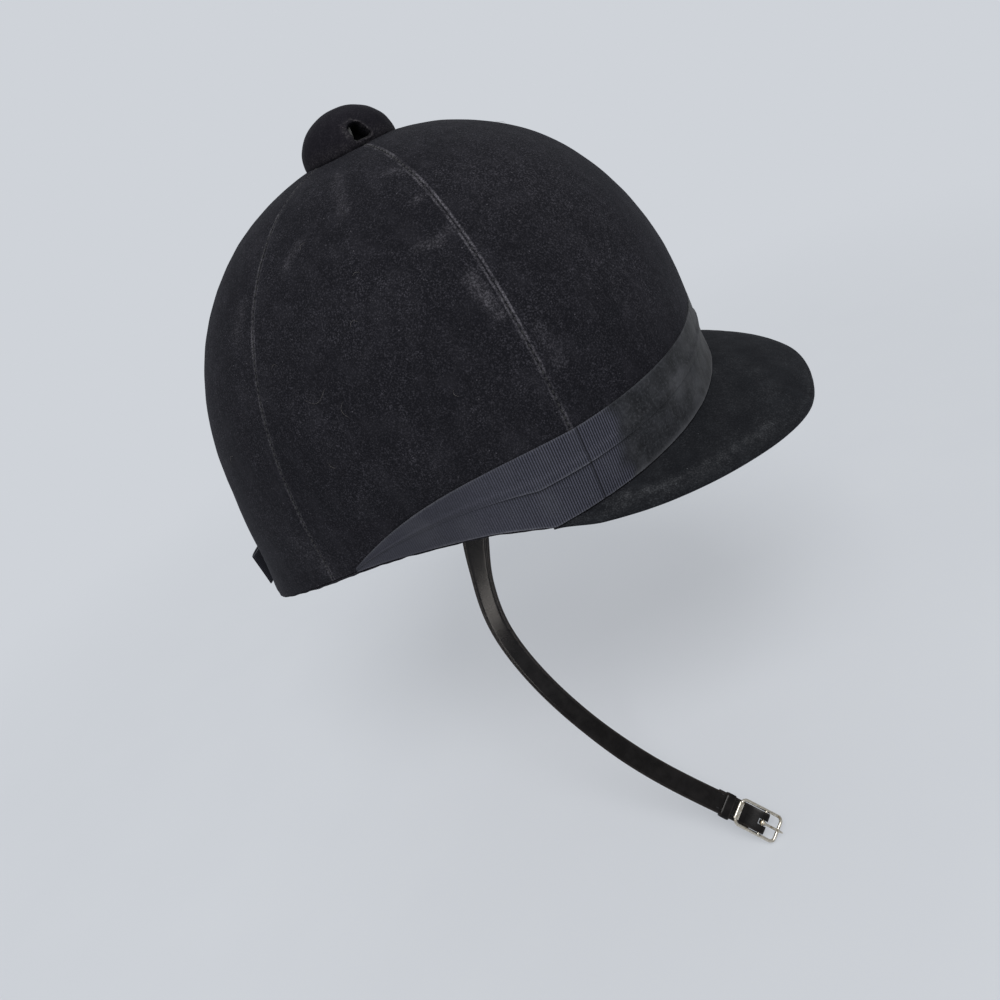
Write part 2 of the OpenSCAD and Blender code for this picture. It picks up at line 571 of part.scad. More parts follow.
hard_shell();
velvet_front();
velvet_left();
velvet_rear();
velvet_right();
front_facing();
cork_liner();
satin_lining();
crown_pad();
foam_front();
foam_rear();
sweatband();
rim_binding();
peak_core();
peak_top_cover();
peak_under_cover();
peak_edge();
ribbon_lower();
ribbon_upper();
bow_loops();
bow_knot();
button_core();
button_cover();
button_bolt();
button_washer();
button_nut();
strap_rivets();
strap_washers();
buckle_strap();
strap_keeper();
buckle_frame();
buckle_tongue();
hole_strap();
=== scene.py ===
import math

import bpy
import numpy as np
from mathutils import Matrix, Vector

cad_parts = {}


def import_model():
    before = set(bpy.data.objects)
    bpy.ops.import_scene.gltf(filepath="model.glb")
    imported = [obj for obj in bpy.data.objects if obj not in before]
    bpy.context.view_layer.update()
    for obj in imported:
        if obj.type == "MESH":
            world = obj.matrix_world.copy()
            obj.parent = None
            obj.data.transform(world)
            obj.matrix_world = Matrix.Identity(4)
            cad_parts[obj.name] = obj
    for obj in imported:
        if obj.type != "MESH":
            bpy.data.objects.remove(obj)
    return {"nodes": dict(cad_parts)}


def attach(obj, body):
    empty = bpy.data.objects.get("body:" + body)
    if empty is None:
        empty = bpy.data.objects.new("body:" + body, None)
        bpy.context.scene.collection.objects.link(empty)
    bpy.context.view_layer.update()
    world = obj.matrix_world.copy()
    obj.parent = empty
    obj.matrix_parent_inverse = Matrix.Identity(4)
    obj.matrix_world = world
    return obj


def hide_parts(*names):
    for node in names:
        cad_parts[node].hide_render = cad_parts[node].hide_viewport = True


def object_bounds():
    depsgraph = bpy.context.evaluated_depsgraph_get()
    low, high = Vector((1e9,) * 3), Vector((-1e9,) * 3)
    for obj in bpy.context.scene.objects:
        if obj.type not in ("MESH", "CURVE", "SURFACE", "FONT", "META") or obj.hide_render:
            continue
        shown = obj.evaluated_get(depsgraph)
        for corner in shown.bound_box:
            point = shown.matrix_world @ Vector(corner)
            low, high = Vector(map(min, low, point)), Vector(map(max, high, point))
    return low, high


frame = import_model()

# Velvet covered riding cap with a button, a peak, a ribbon band and a two part chin strap.
# Lengths are in millimetres up to piece(), which makes metres of them. Angles are in degrees,
# counted from straight ahead towards the wearer's left.
MM = 0.001
UP = np.array([0, 0, 1.0])
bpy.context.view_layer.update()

# Crown
CROWN_FRONT, CROWN_BACK, HALF_WIDE, CROWN_HIGH = 117.0, 119.0, 100.3, 156.7
WALL_HIGH, SIDE_FULL, PLAN_FULL = 20.0, 2.215, 2.35
TOP_SHIFT, FRONT_WIDER, NAPE_FLARE, NAPE_FULL = 4.0, 0.005, 0.05, 0.12
RIM_SIDE, RIM_FRONT, RIM_BACK = 15.7, 5.0, -20.3
SEAM_FRONT, SEAM_BACK = 54.3, 112.2
SIDE_STEP = (SEAM_BACK - SEAM_FRONT) / 8
TOP_ANGLE = 86.9
# Velvet's distance from a seam where it has none
NO_SEAM = 9.0
# Layers, as depths below the outside of the crown
VELVET = 1.0
D_FOAM, D_SATIN, D_BAND, D_INNER = 9.6, 10.0, 14.5, 16.0
BAND_HIGH = 36.0
SEAT_GAP, BINDING = 0.3, 1.4
# Peak
PEAK_OUT, PEAK_ANGLE, PEAK_FULL, PEAK_DROOP = 42.5, 64.3, 1.2, 24.0
PEAK_FLATTER, PEAK_TURN, PEAK_ROOT, ROOT_FALL = 2.0, 0.72, 15.7, 8.2
PEAK_COVER, PEAK_BOARD, PEAK_BEAD = 0.8, 2.0, 1.2
PEAK_THICK = 2 * PEAK_COVER + PEAK_BOARD
PEAK_SIDE = 61.5
# Ribbon, bow and button
RIBBON_TOP, RIBBON, RIBBON_FLARE = 44.5, 0.6, 1.1
RIBBON_END, CREASE_T, RIBBON_BEND = SEAM_BACK - SIDE_STEP, 53.3, 54.0
UPPER_FROM, LOWER_TO, PRESS = 0.53, 0.6, 0.85
RIB_PITCH, RIB_COLUMNS = 0.98, 4
BOW_HALF, BOW_TURN, BOW_HIGH, BOW_DEEP, BOW_LIFT, BOW_Z, BOW_GAP = 51.0, 0.59, 17.5, 2.6, 3.8, -6.5, 0.75
KNOT_HALF, KNOT_FOLD = 6.0, 3.1
BUTTON_R, BUTTON_HIGH, VENT_ANGLE = 21.0, 16.8, 47.0
PAD_R = 28.0
# Straps and buckle
STRAP_W, STRAP_T, RIVET_X, RIVET_Z, STRAP_Y = 9.0, 1.7, 24.6, 27.0, 87.0142
STRAP_LEAN, STRAP_TWIST, HOLES, HOLE_PITCH, HOLE_D = 21.2, 48.0, 5, 11.0, 2.6
WIRE_D, BAR_NEAR, BAR_FAR, FOLD_LEN, FOLD_W, BAR_TILT = 1.4, 11.5, 7.5, 22.0, 9.2, 9.25737
RING_STEP, KEEPER_AT, KEEPER_HALF = 1.1, -16.0, 2.0


def trig(t):
    r = np.radians(np.asarray(t, float))
    return np.cos(r), np.sin(r)


def cosd(t):
    return trig(t)[0]


def coords(*parts):
    """Points from their coordinates, each one number or a grid."""
    return np.stack(np.broadcast_arrays(*parts), -1)


def wrap(t):
    return (np.asarray(t, float) + 180) % 360 - 180


def ease(f):
    f = np.clip(f, 0, 1)
    return f * f * (3 - 2 * f)


def unit(v):
    v = np.asarray(v, float)
    return v / np.linalg.norm(v, axis=-1, keepdims=True)


def bell(x, width):
    return np.exp(-((x / width) ** 2))


def crown(t, z):
    """The outside of the crown at angle t and height z."""
    t, z = np.broadcast_arrays(np.asarray(t, float), np.asarray(z, float))
    c, s = trig(t)
    up = np.clip((z - WALL_HIGH) / (CROWN_HIGH - WALL_HIGH), 0, 1)
    low = np.clip((WALL_HIGH - z) / WALL_HIGH, 0, 2)
    r = (1 - up**SIDE_FULL) ** (1 / SIDE_FULL) + NAPE_FLARE * s * s * np.clip(-4 * c, 0, 1) * low * low
    r = r + NAPE_FULL * (s * np.minimum(c, 0)) ** 2 * ease((55 - z) / 50)
    q = (abs(c) ** PLAN_FULL + abs(s) ** PLAN_FULL) ** (-1 / PLAN_FULL)
    x = TOP_SHIFT * up * up + np.where(c < 0, CROWN_BACK, CROWN_FRONT) * r * q * c
    return coords(x, HALF_WIDE * r * q * s * (1 + FRONT_WIDER * c), z)


def outward(t, z):
    """Direction out of the crown, square to it."""
    t, z = np.broadcast_arrays(np.asarray(t, float), np.asarray(z, float))
    return unit(np.cross(crown(t + 0.5, z) - crown(t - 0.5, z), crown(t, z + 0.02) - crown(t, z - 0.02)))


def deep(t, z, d):
    """The same point moved inward by d."""
    return crown(t, z) - np.asarray(d, float)[..., None] * outward(t, z)


def rim(t):
    """Height of the crown's lower edge."""
    c, _ = trig(t)
    front = RIM_SIDE + (RIM_FRONT - RIM_SIDE) * ease(c * c / 0.3)
    return np.where(c > 0, front, RIM_SIDE + (RIM_BACK - RIM_SIDE) * c * c)


def root(t):
    """Height where the peak's top meets the crown."""
    return PEAK_ROOT - ROOT_FALL * (abs(wrap(t)) / PEAK_ANGLE) ** 2


def beside_peak(t, width=4.5):
    """From 0 at the peak to 1 past its sides."""
    return ease((abs(wrap(t)) - PEAK_SIDE) / width)


def cover_low(t):
    """Lower edge of the velvet, which ends above the peak in front."""
    side = beside_peak(t)
    return (root(t) + 0.2) * (1 - side) + rim(t) * side


def lumps(p, size, seed):
    """Smooth waves from -1 to 1, about size across, the same at every run."""
    rng = np.random.default_rng(seed)
    total = np.zeros(p.shape[:-1])
    for _ in range(7):
        way = unit(rng.normal(size=3)) * rng.uniform(0.6, 1.4)
        total += np.sin(p @ way * (2 * math.pi / size) + rng.uniform(0, 2 * math.pi))
    return total / 4


def run_along(path):
    """Distance along a path from its start to each of its points."""
    return np.concatenate([[0], np.cumsum(np.linalg.norm(np.diff(path, axis=0), axis=1))])


def circle(count):
    """Cosines and sines of one turn in even steps."""
    return trig(np.linspace(0, 360, count, endpoint=False))


def boxy(v, power):
    """Cosines or sines that turn a circle into a rounded box, the more so the smaller the power."""
    return np.sign(v) * abs(v) ** power


# Forms are made as (points, list of face arrays), and joined before a piece is made of them.
def skin(a, b, ring=False, ring_down=False):
    """Closed solid between two grids of points, a outside and b inside."""
    n, m = a.shape[:2]
    i = np.arange(n if ring else n - 1)
    j = np.arange(m if ring_down else m - 1)
    i0, j0 = (g.ravel() for g in np.meshgrid(i, j, indexing="ij"))
    i1, j1 = (i0 + 1) % n, (j0 + 1) % m
    off = n * m
    outer = np.stack([i0 * m + j0, i0 * m + j1, i1 * m + j1, i1 * m + j0], -1)
    faces = [outer, off + outer[:, ::-1]]
    e0, e1 = i * m, (i + 1) % n * m
    if not ring_down:
        faces.append(np.stack([e0, e1, off + e1, off + e0], -1))
        faces.append(np.stack([e0 + m - 1, off + e0 + m - 1, off + e1 + m - 1, e1 + m - 1], -1))
    if not ring:
        last = (n - 1) * m
        j2 = (j + 1) % m
        faces.append(np.stack([j, off + j, off + j2, j2], -1))
        faces.append(np.stack([last + j, last + j2, off + last + j2, off + last + j], -1))
    return np.concatenate([a.reshape(-1, 3), b.reshape(-1, 3)]), faces


def sweep(rings, closed=False):
    """Solid through closed sections, with its ends capped unless it closes on itself."""
    n, m = rings.shape[:2]
    i = np.arange(n if closed else n - 1)
    i0, j0 = (g.ravel() for g in np.meshgrid(i, np.arange(m), indexing="ij"))
    i1, j1 = (i0 + 1) % n, (j0 + 1) % m
    faces = [np.stack([i0 * m + j0, i1 * m + j0, i1 * m + j1, i0 * m + j1], -1)]
    points = rings.reshape(-1, 3)
    if not closed:
        j = np.arange(m)
        points = np.concatenate([points, rings[:1].mean(1), rings[-1:].mean(1)])
        faces.append(np.stack([j, (j + 1) % m, np.full(m, n * m)], -1))
        last = (n - 1) * m
        faces.append(np.stack([last + (j + 1) % m, last + j, np.full(m, n * m + 1)], -1))
    return points, faces


def join(forms):
    """One form of several."""
    points, faces, off = [], [], 0
    for p, f in forms:
        points.append(p)
        faces += [a + off for a in f]
        off += len(p)
    return np.concatenate(points), faces


def framed(path, closed, up):
    """Two directions square to a path that turn as little as possible along it."""
    if closed:
        along = unit(np.roll(path, -1, 0) - np.roll(path, 1, 0))
    else:
        along = unit(np.gradient(path, axis=0))
    side = [unit(np.cross(along[0], up))]
    for t in along[1:]:
        side.append(unit(side[-1] - t * (side[-1] @ t)))
    side = np.array(side)
    return side, np.cross(side, along)


def tube(path, radius, sides=12, closed=False, up=UP):
    path = np.asarray(path, float)
    a, b = framed(path, closed, up)
    c, s = circle(sides)
    size = np.broadcast_to(np.asarray(radius, float), (len(path),))[:, None, None]
    return sweep(path[:, None] + size * (c[:, None] * a[:, None] + s[:, None] * b[:, None]), closed)


def threads(centres, along, normal, length, radius, arch):
    """Many short stitches, each an arched thread with thin ends."""
    u = np.array([-1, -0.75, -0.3, 0.3, 0.75, 1])
    size = radius * np.array([0.3, 0.8, 1, 1, 0.8, 0.3])
    side = unit(np.cross(along, normal))
    path = centres[:, None] + along[:, None] * (u * length / 2)[None, :, None]
    path = path + normal[:, None] * (arch * (0.5 - u**4))[None, :, None]
    c, s = circle(6)
    ring = side[:, None] * c[:, None] + normal[:, None] * s[:, None]
    points = path[:, :, None] + size[None, :, None, None] * ring[:, None]
    return join([sweep(p) for p in points])


def walk(path, pitch, start=0.0):
    """Indices, with their fractions, of places at a steady pitch along a path."""
    run = run_along(path)
    return np.interp(np.arange(start, run[-1], pitch), run, np.arange(len(path)))


def pick(values, at):
    """Values at the indices that walk() gives."""
    i = np.minimum(at.astype(int), len(values) - 2)
    f = (at - i)[:, None]
    return values[i] * (1 - f) + values[i + 1] * f


def stitch_row(path, normal, pitch, start, *thread):
    """Stitches along a path. The thread is given by its length, radius and arch."""
    at = walk(path, pitch, start)
    along = unit(pick(np.gradient(path, axis=0), at))
    normal = unit(pick(np.broadcast_to(normal, path.shape), at))
    return threads(pick(path, at), along, normal, *thread)


def mesh_of(name, form):
    points, faces = form
    mesh = bpy.data.meshes.new(name)
    mesh.from_pydata((points * MM).tolist(), [], [row for f in faces for row in f.tolist()])
    return mesh


def smooth(mesh):
    """Smooth shading, except across edges of more than 40 degrees."""
    mesh.shade_smooth()
    mesh.set_sharp_from_angle(angle=math.radians(40))


def add_object(name, data):
    made = bpy.data.objects.new(name, data)
    bpy.context.scene.collection.objects.link(made)
    return made


def piece(name, form, finish, body, slot=None, stands_for=(), **marks):
    """Makes one piece of the object from a form. Marks are numbers for its finish, one or one per point."""
    points, faces = form
    total = 0.0
    for f in faces:
        for k in range(1, f.shape[1] - 1):
            a, b, c = points[f[:, 0]], points[f[:, k]], points[f[:, k + 1]]
            total += np.einsum("ij,ij->i", a, np.cross(b, c)).sum()
    if total < 0:
        faces = [f[:, ::-1] for f in faces]
    label = name + "_dressed" if name in frame["nodes"] else name
    mesh = mesh_of(label, (points, faces))
    mesh.validate()
    smooth(mesh)
    for key, values in marks.items():
        # The inner grid of a skin gets the numbers of the outer one
        full = np.resize(np.asarray(values, np.float32), len(mesh.vertices))
        mesh.attributes.new(key, "FLOAT", "POINT").data.foreach_set("value", full)
    mesh.materials.append(finish.material)
    made = add_object(label, mesh)
    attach(made, body)
    if stands_for:
        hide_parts(*stands_for)
    return made


def srgb(r, g, b):
    """A colour given as it looks on screen, from 0 to 255."""
    linear = [(v / 255 / 12.92) if v <= 10 else ((v / 255 + 0.055) / 1.055) ** 2.4 for v in (r, g, b)]
    return (*linear, 1.0)


class Finish:
    """One node material. Its sizes are in millimetres of the piece's own space."""

    def __init__(self, name, **constants):
        self.material = bpy.data.materials.new(name)
        self.material.use_nodes = True
        self.tree = self.material.node_tree
        self.shader = self.tree.nodes["Principled BSDF"]
        self.place = self.tree.nodes.new("ShaderNodeTexCoord").outputs["Object"]
        for key, value in constants.items():
            self.shader.inputs[key.replace("_", " ")].default_value = value

    def feed(self, socket, value):
        if isinstance(value, bpy.types.NodeSocket):
            self.tree.links.new(value, socket)
        else:
            socket.default_value = value

    def node(self, kind, inputs, output=0, **settings):
        made = self.tree.nodes.new("ShaderNode" + kind)
        for key, value in settings.items():
            setattr(made, key, value)
        for key, value in inputs.items():
            self.feed(made.inputs[key], value)
        return made.outputs[output]

    def spot(self, size, stretch=(1, 1, 1), shift=0.0):
        scale = [1 / (MM * size * s) for s in stretch]
        return self.node("Mapping", {"Vector": self.place, "Scale": scale, "Location": (shift,) * 3})

    def noise(self, size, detail=2.0, stretch=(1, 1, 1), shift=0.0, rough=0.5):
        where = self.spot(size, stretch, shift)
        return self.node("TexNoise", {"Vector": where, "Scale": 1.0, "Detail": detail, "Roughness": rough})

    def cells(self, size, shift=0.0):
        return self.node("TexVoronoi", {"Vector": self.spot(size, shift=shift), "Scale": 1.0})

    def calc(self, what, a, b=0.0):
        return self.node("Math", {0: a, 1: b}, operation=what)

    def times(self, a, b):
        return self.calc("MULTIPLY", a, b)

    def plus(self, a, b):
        return self.calc("ADD", a, b)

    def mark(self, name):
        return self.node("Attribute", {}, output="Fac", attribute_name=name)

    def fade(self, value, lo, hi, a=0.0, b=1.0):
        """From a to b as value goes from lo to hi."""
        sockets = {"Value": value, "From Min": lo, "From Max": hi, "To Min": a, "To Max": b}
        return self.node("MapRange", sockets, interpolation_type="SMOOTHSTEP")

    def mix(self, share, a, b):
        return self.node("Mix", {0: share, 6: a, 7: b}, output=2, data_type="RGBA")

    def give(self, key, value):
        self.feed(self.shader.inputs[key], value)

    def roughen(self, height, depth):
        """Relief of the given depth."""
        self.give("Normal", self.node("Bump", {"Height": height, "Distance": depth * MM, "Strength": 1.0}))


def velvet_finish(name, dark, pale, dust, knotted=0.13):
    """Short pile velvet: curly speckle, soft patches, lint, dust with some painted light, the worn lines at
    the seams and painted shade in the button's vents.
    """
    f = Finish(name, Roughness=0.95, Sheen_Weight=0.045, Sheen_Roughness=0.4,
               Specular_IOR_Level=0.04, Sheen_Tint=srgb(205, 208, 220))
    curl = f.noise(0.62, 3.0, rough=0.7)
    knots = f.cells(0.85, shift=5.0)
    coarse = f.noise(2.6, 2.0, shift=3.0)
    patch = f.noise(24, 3.0, shift=7.0, rough=0.55)
    pile = f.noise(8, 2.0, stretch=(1, 1, 1.8), shift=11.0)
    grain = f.plus(f.times(curl, 0.86), f.fade(knots, 0.1, 0.55, knotted, 0.0))
    strength = f.times(f.fade(coarse, 0.3, 0.7, 0.5, 1.0), f.fade(patch, 0.3, 0.7, 0.5, 1.0))
    speck = f.times(f.fade(grain, 0.38, 0.68), strength)
    colour = f.mix(speck, dark, pale)
    colour = f.mix(f.fade(pile, 0.45, 0.72, 0.0, 0.22), colour, f.mix(0.5, dark, pale))
    lint = f.fade(f.cells(3.4, shift=2.0), 0.09, 0.04)
    rare = f.fade(f.noise(12, 1.0, shift=19.0), 0.46, 0.6)
    colour = f.mix(f.times(f.times(lint, rare), 0.5), colour, dust)
    # Pale clouds where the mark is set: dust, and in places painted light
    cloud = f.times(f.mark("dust"), f.fade(grain, 0.36, 0.6, 0.2, 1.0))
    colour = f.mix(f.times(cloud, f.fade(coarse, 0.25, 0.7, 0.4, 1.0)), colour, dust)
    gap = f.mark("gap")
    line = f.fade(f.calc("ABSOLUTE", f.plus(gap, -0.75)), 0.75, 0.1)
    worn = f.fade(f.noise(7, 3.0, shift=5.0, rough=0.6), 0.38, 0.6, 0.16, 1.0)
    line = f.times(f.times(line, worn), f.fade(grain, 0.32, 0.58, 0.15, 1.0))
    colour = f.mix(f.times(line, f.mark("wear")), colour, dust)
    colour = f.mix(f.times(f.fade(gap, 0.4, 0.1), 0.4), colour, srgb(14, 14, 17))
    # Painted shade down inside the button's vents
    colour = f.mix(f.mark("pit"), colour, srgb(6, 6, 7))
    f.give("Base Color", colour)
    nap = f.plus(f.times(grain, 0.8), f.times(coarse, 0.5))
    f.roughen(nap, 0.12)
    return f


velvet = velvet_finish("velvet", srgb(23, 23, 27), srgb(64, 63, 69), srgb(108, 106, 112))
peak_velvet = velvet_finish("peak_velvet", srgb(24, 25, 28), srgb(56, 58, 62), srgb(100, 101, 104), 0.03)
button_velvet = velvet_finish("button_velvet", srgb(22, 21, 26), srgb(41, 39, 45), srgb(104, 100, 102), 0.03)


def ribbon_finish():
    """Ribbed ribbon, rubbed smooth and dusty in front, with painted light and shade on its ribs, edges and
    creases.
    """
    f = Finish("ribbon", Roughness=0.6, Sheen_Weight=0.06, Sheen_Roughness=0.4, Specular_IOR_Level=0.16)
    fine = f.noise(0.5, 2.0, rough=0.6)
    patch = f.noise(9, 3.0, shift=4.0, rough=0.6)
    # Rib crests pale and the hollows between them dark: painted light and shade of the ribs
    crest = f.fade(f.mark("crest"), 0.0, 1.0)
    cloth = f.mix(f.times(crest, f.fade(fine, 0.2, 0.7, 0.55, 1.0)), srgb(14, 15, 19), srgb(82, 83, 96))
    rubbed = f.mix(f.fade(patch, 0.32, 0.68), srgb(23, 24, 27), srgb(41, 42, 46))
    fluff = f.fade(f.noise(1.1, 3.0, shift=6.0, rough=0.7), 0.45, 0.72, 0.0, 0.55)
    rubbed = f.mix(fluff, rubbed, srgb(66, 67, 71))
    colour = f.mix(f.mark("rubbed"), cloth, rubbed)
    # Pale lap edges: partly worn selvedge, partly painted highlight where the edges catch light
    colour = f.mix(f.times(f.mark("edge"), f.fade(fine, 0.3, 0.6, 0.3, 1.0)), colour, srgb(104, 105, 112))
    # Dust, and painted highlight along the flared lower edge
    colour = f.mix(f.times(f.mark("dust"), f.fade(patch, 0.25, 0.6, 0.4, 1.0)), colour, srgb(116, 117, 121))
    colour = f.mix(f.mark("shade"), colour, srgb(10, 10, 12))
    f.give("Base Color", colour)
    f.roughen(fine, 0.05)
    return f


ribbon_cloth = ribbon_finish()


def leather_finish(name, dark, pale, rough, gloss, shine, tint=None):
    f = Finish(name, Coat_Weight=gloss, Coat_Roughness=0.24, Specular_IOR_Level=shine)
    grain = f.cells(0.8)
    wide = f.noise(6, 3.0, shift=2.0, rough=0.6)
    creases = f.noise(1.3, 3.0, stretch=(1, 1, 0.5), shift=8.0, rough=0.6)
    colour = f.mix(f.fade(wide, 0.35, 0.7), dark, pale)
    if tint:
        colour = f.mix(f.times(f.mark("edge"), f.fade(creases, 0.3, 0.6, 0.3, 1.0)), colour, tint)
    f.give("Base Color", colour)
    f.give("Roughness", f.fade(wide, 0.3, 0.7, rough - 0.07, rough + 0.1))
    f.roughen(f.plus(f.times(grain, 0.35), creases), 0.07)
    return f


strap_leather = leather_finish("strap_leather", srgb(14, 12, 12), srgb(25, 23, 23), 0.4, 0.32, 0.0,
                               srgb(42, 38, 36))
band_leather = leather_finish("band_leather", srgb(88, 50, 31), srgb(112, 67, 42), 0.48, 0.1, 0.4,
                              srgb(58, 30, 18))


def metal_finish(name, bright, dull, rough):
    f = Finish(name, Metallic=1.0)
    tarnish = f.noise(1.6, 4.0, rough=0.65)
    scratch = f.noise(0.35, 2.0, stretch=(1, 1, 6), shift=3.0)
    f.give("Base Color", f.mix(f.fade(tarnish, 0.45, 0.72), bright, dull))
    f.give("Roughness", f.fade(tarnish, 0.35, 0.75, rough, rough + 0.22))
    f.roughen(scratch, 0.012)
    return f


nickel = metal_finish("nickel", srgb(214, 208, 196), srgb(150, 136, 112), 0.2)
steel = metal_finish("steel", srgb(186, 188, 190), srgb(120, 118, 114), 0.32)


def cloth_finish(name, dark, pale, weave, rough=0.85, sheen=0.1):
    """Plain woven cloth seen in the space of the piece."""
    f = Finish(name, Roughness=rough, Sheen_Weight=sheen)
    warp = f.noise(weave, 1.0, stretch=(1, 1, 6))
    weft = f.noise(weave, 1.0, stretch=(5, 5, 1), shift=5.0)
    wide = f.noise(18, 3.0, shift=9.0)
    threads_seen = f.calc("MAXIMUM", warp, weft)
    colour = f.mix(f.fade(threads_seen, 0.42, 0.68), dark, pale)
    f.give("Base Color", f.mix(f.fade(wide, 0.35, 0.7, 0.0, 0.3), colour, pale))
    f.roughen(threads_seen, 0.08)
    return f


under_cloth = cloth_finish("under_cloth", srgb(20, 20, 22), srgb(44, 44, 47), 0.5)
satin = cloth_finish("satin", srgb(82, 16, 26), srgb(122, 30, 42), 0.3, rough=0.34, sheen=0.25)
thread_black = cloth_finish("thread_black", srgb(16, 16, 18), srgb(40, 40, 42), 0.25)
thread_brown = cloth_finish("thread_brown", srgb(120, 84, 50), srgb(160, 118, 76), 0.25)


def speckled_finish(name, dark, pale, size, rough, depth):
    f = Finish(name, Roughness=rough)
    cell = f.cells(size)
    wide = f.noise(size * 4, 3.0, rough=0.6)
    f.give("Base Color", f.mix(f.plus(f.times(cell, 0.6), f.times(wide, 0.4)), dark, pale))
    f.roughen(f.plus(cell, f.noise(size * 0.4, 2.0)), depth)
    return f


shell_resin = speckled_finish("shell_resin", srgb(40, 36, 34), srgb(74, 68, 62), 3.0, 0.5, 0.15)
cork = speckled_finish("cork", srgb(104, 70, 42), srgb(186, 140, 94), 2.2, 0.85, 0.3)
foam = speckled_finish("foam", srgb(166, 160, 146), srgb(212, 206, 192), 0.7, 0.95, 0.2)


def wood_finish():
    f = Finish("button_wood", Roughness=0.6)
    grain = f.noise(1.2, 4.0, stretch=(1, 1, 9), rough=0.6)
    wood = f.mix(f.fade(grain, 0.35, 0.65), srgb(148, 106, 64), srgb(196, 156, 108))
    # Black where the vents would show it: painted shade inside the vents
    flat = f.node("VectorMath", {0: f.place, 1: (1, 1, 0)}, operation="MULTIPLY")
    reach = f.node("VectorMath", {0: flat, 1: (TOP_SHIFT * MM, 0, 0)}, output="Value", operation="DISTANCE")
    f.give("Base Color", f.mix(f.fade(reach, 0.008, 0.01), wood, srgb(9, 9, 10)))
    f.roughen(grain, 0.08)
    return f


button_wood = wood_finish()

# Velvet cover, in four panels sewn along four seams
SEAM_STEPS = np.array([0, 0.3, 0.6, 0.9, 1.2, 1.55, 2.0, 2.7, 3.8, 5.4, 7.6])
PANEL_ROWS = 190
# Dusty streaks on the cover, and one broad faint patch of painted light on the front panel (radius 24): angle
# and height of both ends, radius and strength
SMUDGES_AND_LIGHT = [(-60.5, 143.0, -55.5, 141.0, 2.0, 0.24), (-59.0, 130.6, -57.0, 131.2, 1.6, 0.3),
           (-64.0, 117.4, -60.0, 116.6, 1.7, 0.3), (-60.0, 116.6, -56.0, 118.2, 1.6, 0.3),
           (-57.6, 102.5, -57.2, 94.5, 2.2, 0.6), (-57.0, 92.0, -56.5, 87.5, 1.8, 0.5),
           (-51.5, 78.0, -50.5, 64.5, 2.4, 0.2), (-81.0, 149.0, -79.5, 138.0, 2.6, 0.2),
           (-96.5, 134.5, -101.5, 128.5, 2.2, 0.26), (-117.5, 123.5, -118.5, 112.5, 3.0, 0.2),
           (-116.0, 30.0, -111.0, 12.0, 5.0, 0.16), (-140.0, 8.0, -132.0, -6.0, 9.0, 0.1),
           (-30.0, 62.0, -8.0, 56.0, 12.0, 0.09), (-62.0, 60.0, -84.0, 48.0, 9.0, 0.03),
           (-34.0, 128.0, -26.0, 84.0, 24.0, 0.075), (60.0, 118.0, 57.0, 104.0, 3.0, 0.3),
           (70.0, 130.0, 62.0, 136.0, 3.0, 0.25), (118.0, 96.0, 114.0, 80.0, 4.0, 0.2),
           (150.0, 60.0, 160.0, 44.0, 10.0, 0.1), (165.0, 14.0, 178.0, 4.0, 10.0, 0.1),
           (100.0, 22.0, 92.0, 34.0, 6.0, 0.14)]


def dust_at(points):
    """Dust mark of places on the cover, with painted light in its broad patch on the front panel."""
    total = np.zeros(points.shape[:-1])
    for t0, z0, t1, z1, size, strength in SMUDGES_AND_LIGHT:
        a, b = crown(t0, z0), crown(t1, z1)
        along = np.clip((points - a) @ (b - a) / ((b - a) @ (b - a)), 0, 1)
        away = np.linalg.norm(points - a - along[..., None] * (b - a), axis=-1)
        total += strength * bell(away, size)
    return np.clip(total, 0, 0.8)


def ribbon_hi(t):
    """Upper edge of the ribbon, which falls faster past its bend."""
    a = abs(t)
    b = np.maximum(0, a - RIBBON_BEND)
    return RIBBON_TOP - 3.5 * (np.minimum(a, RIBBON_BEND) / RIBBON_BEND) ** 2 - 0.02 * b - 0.0009 * b**2.6


def press(t):
    """How deep the ribbon sits in the velvet."""
    return PRESS * (1 - ease((abs(wrap(t)) - 22) / 30))


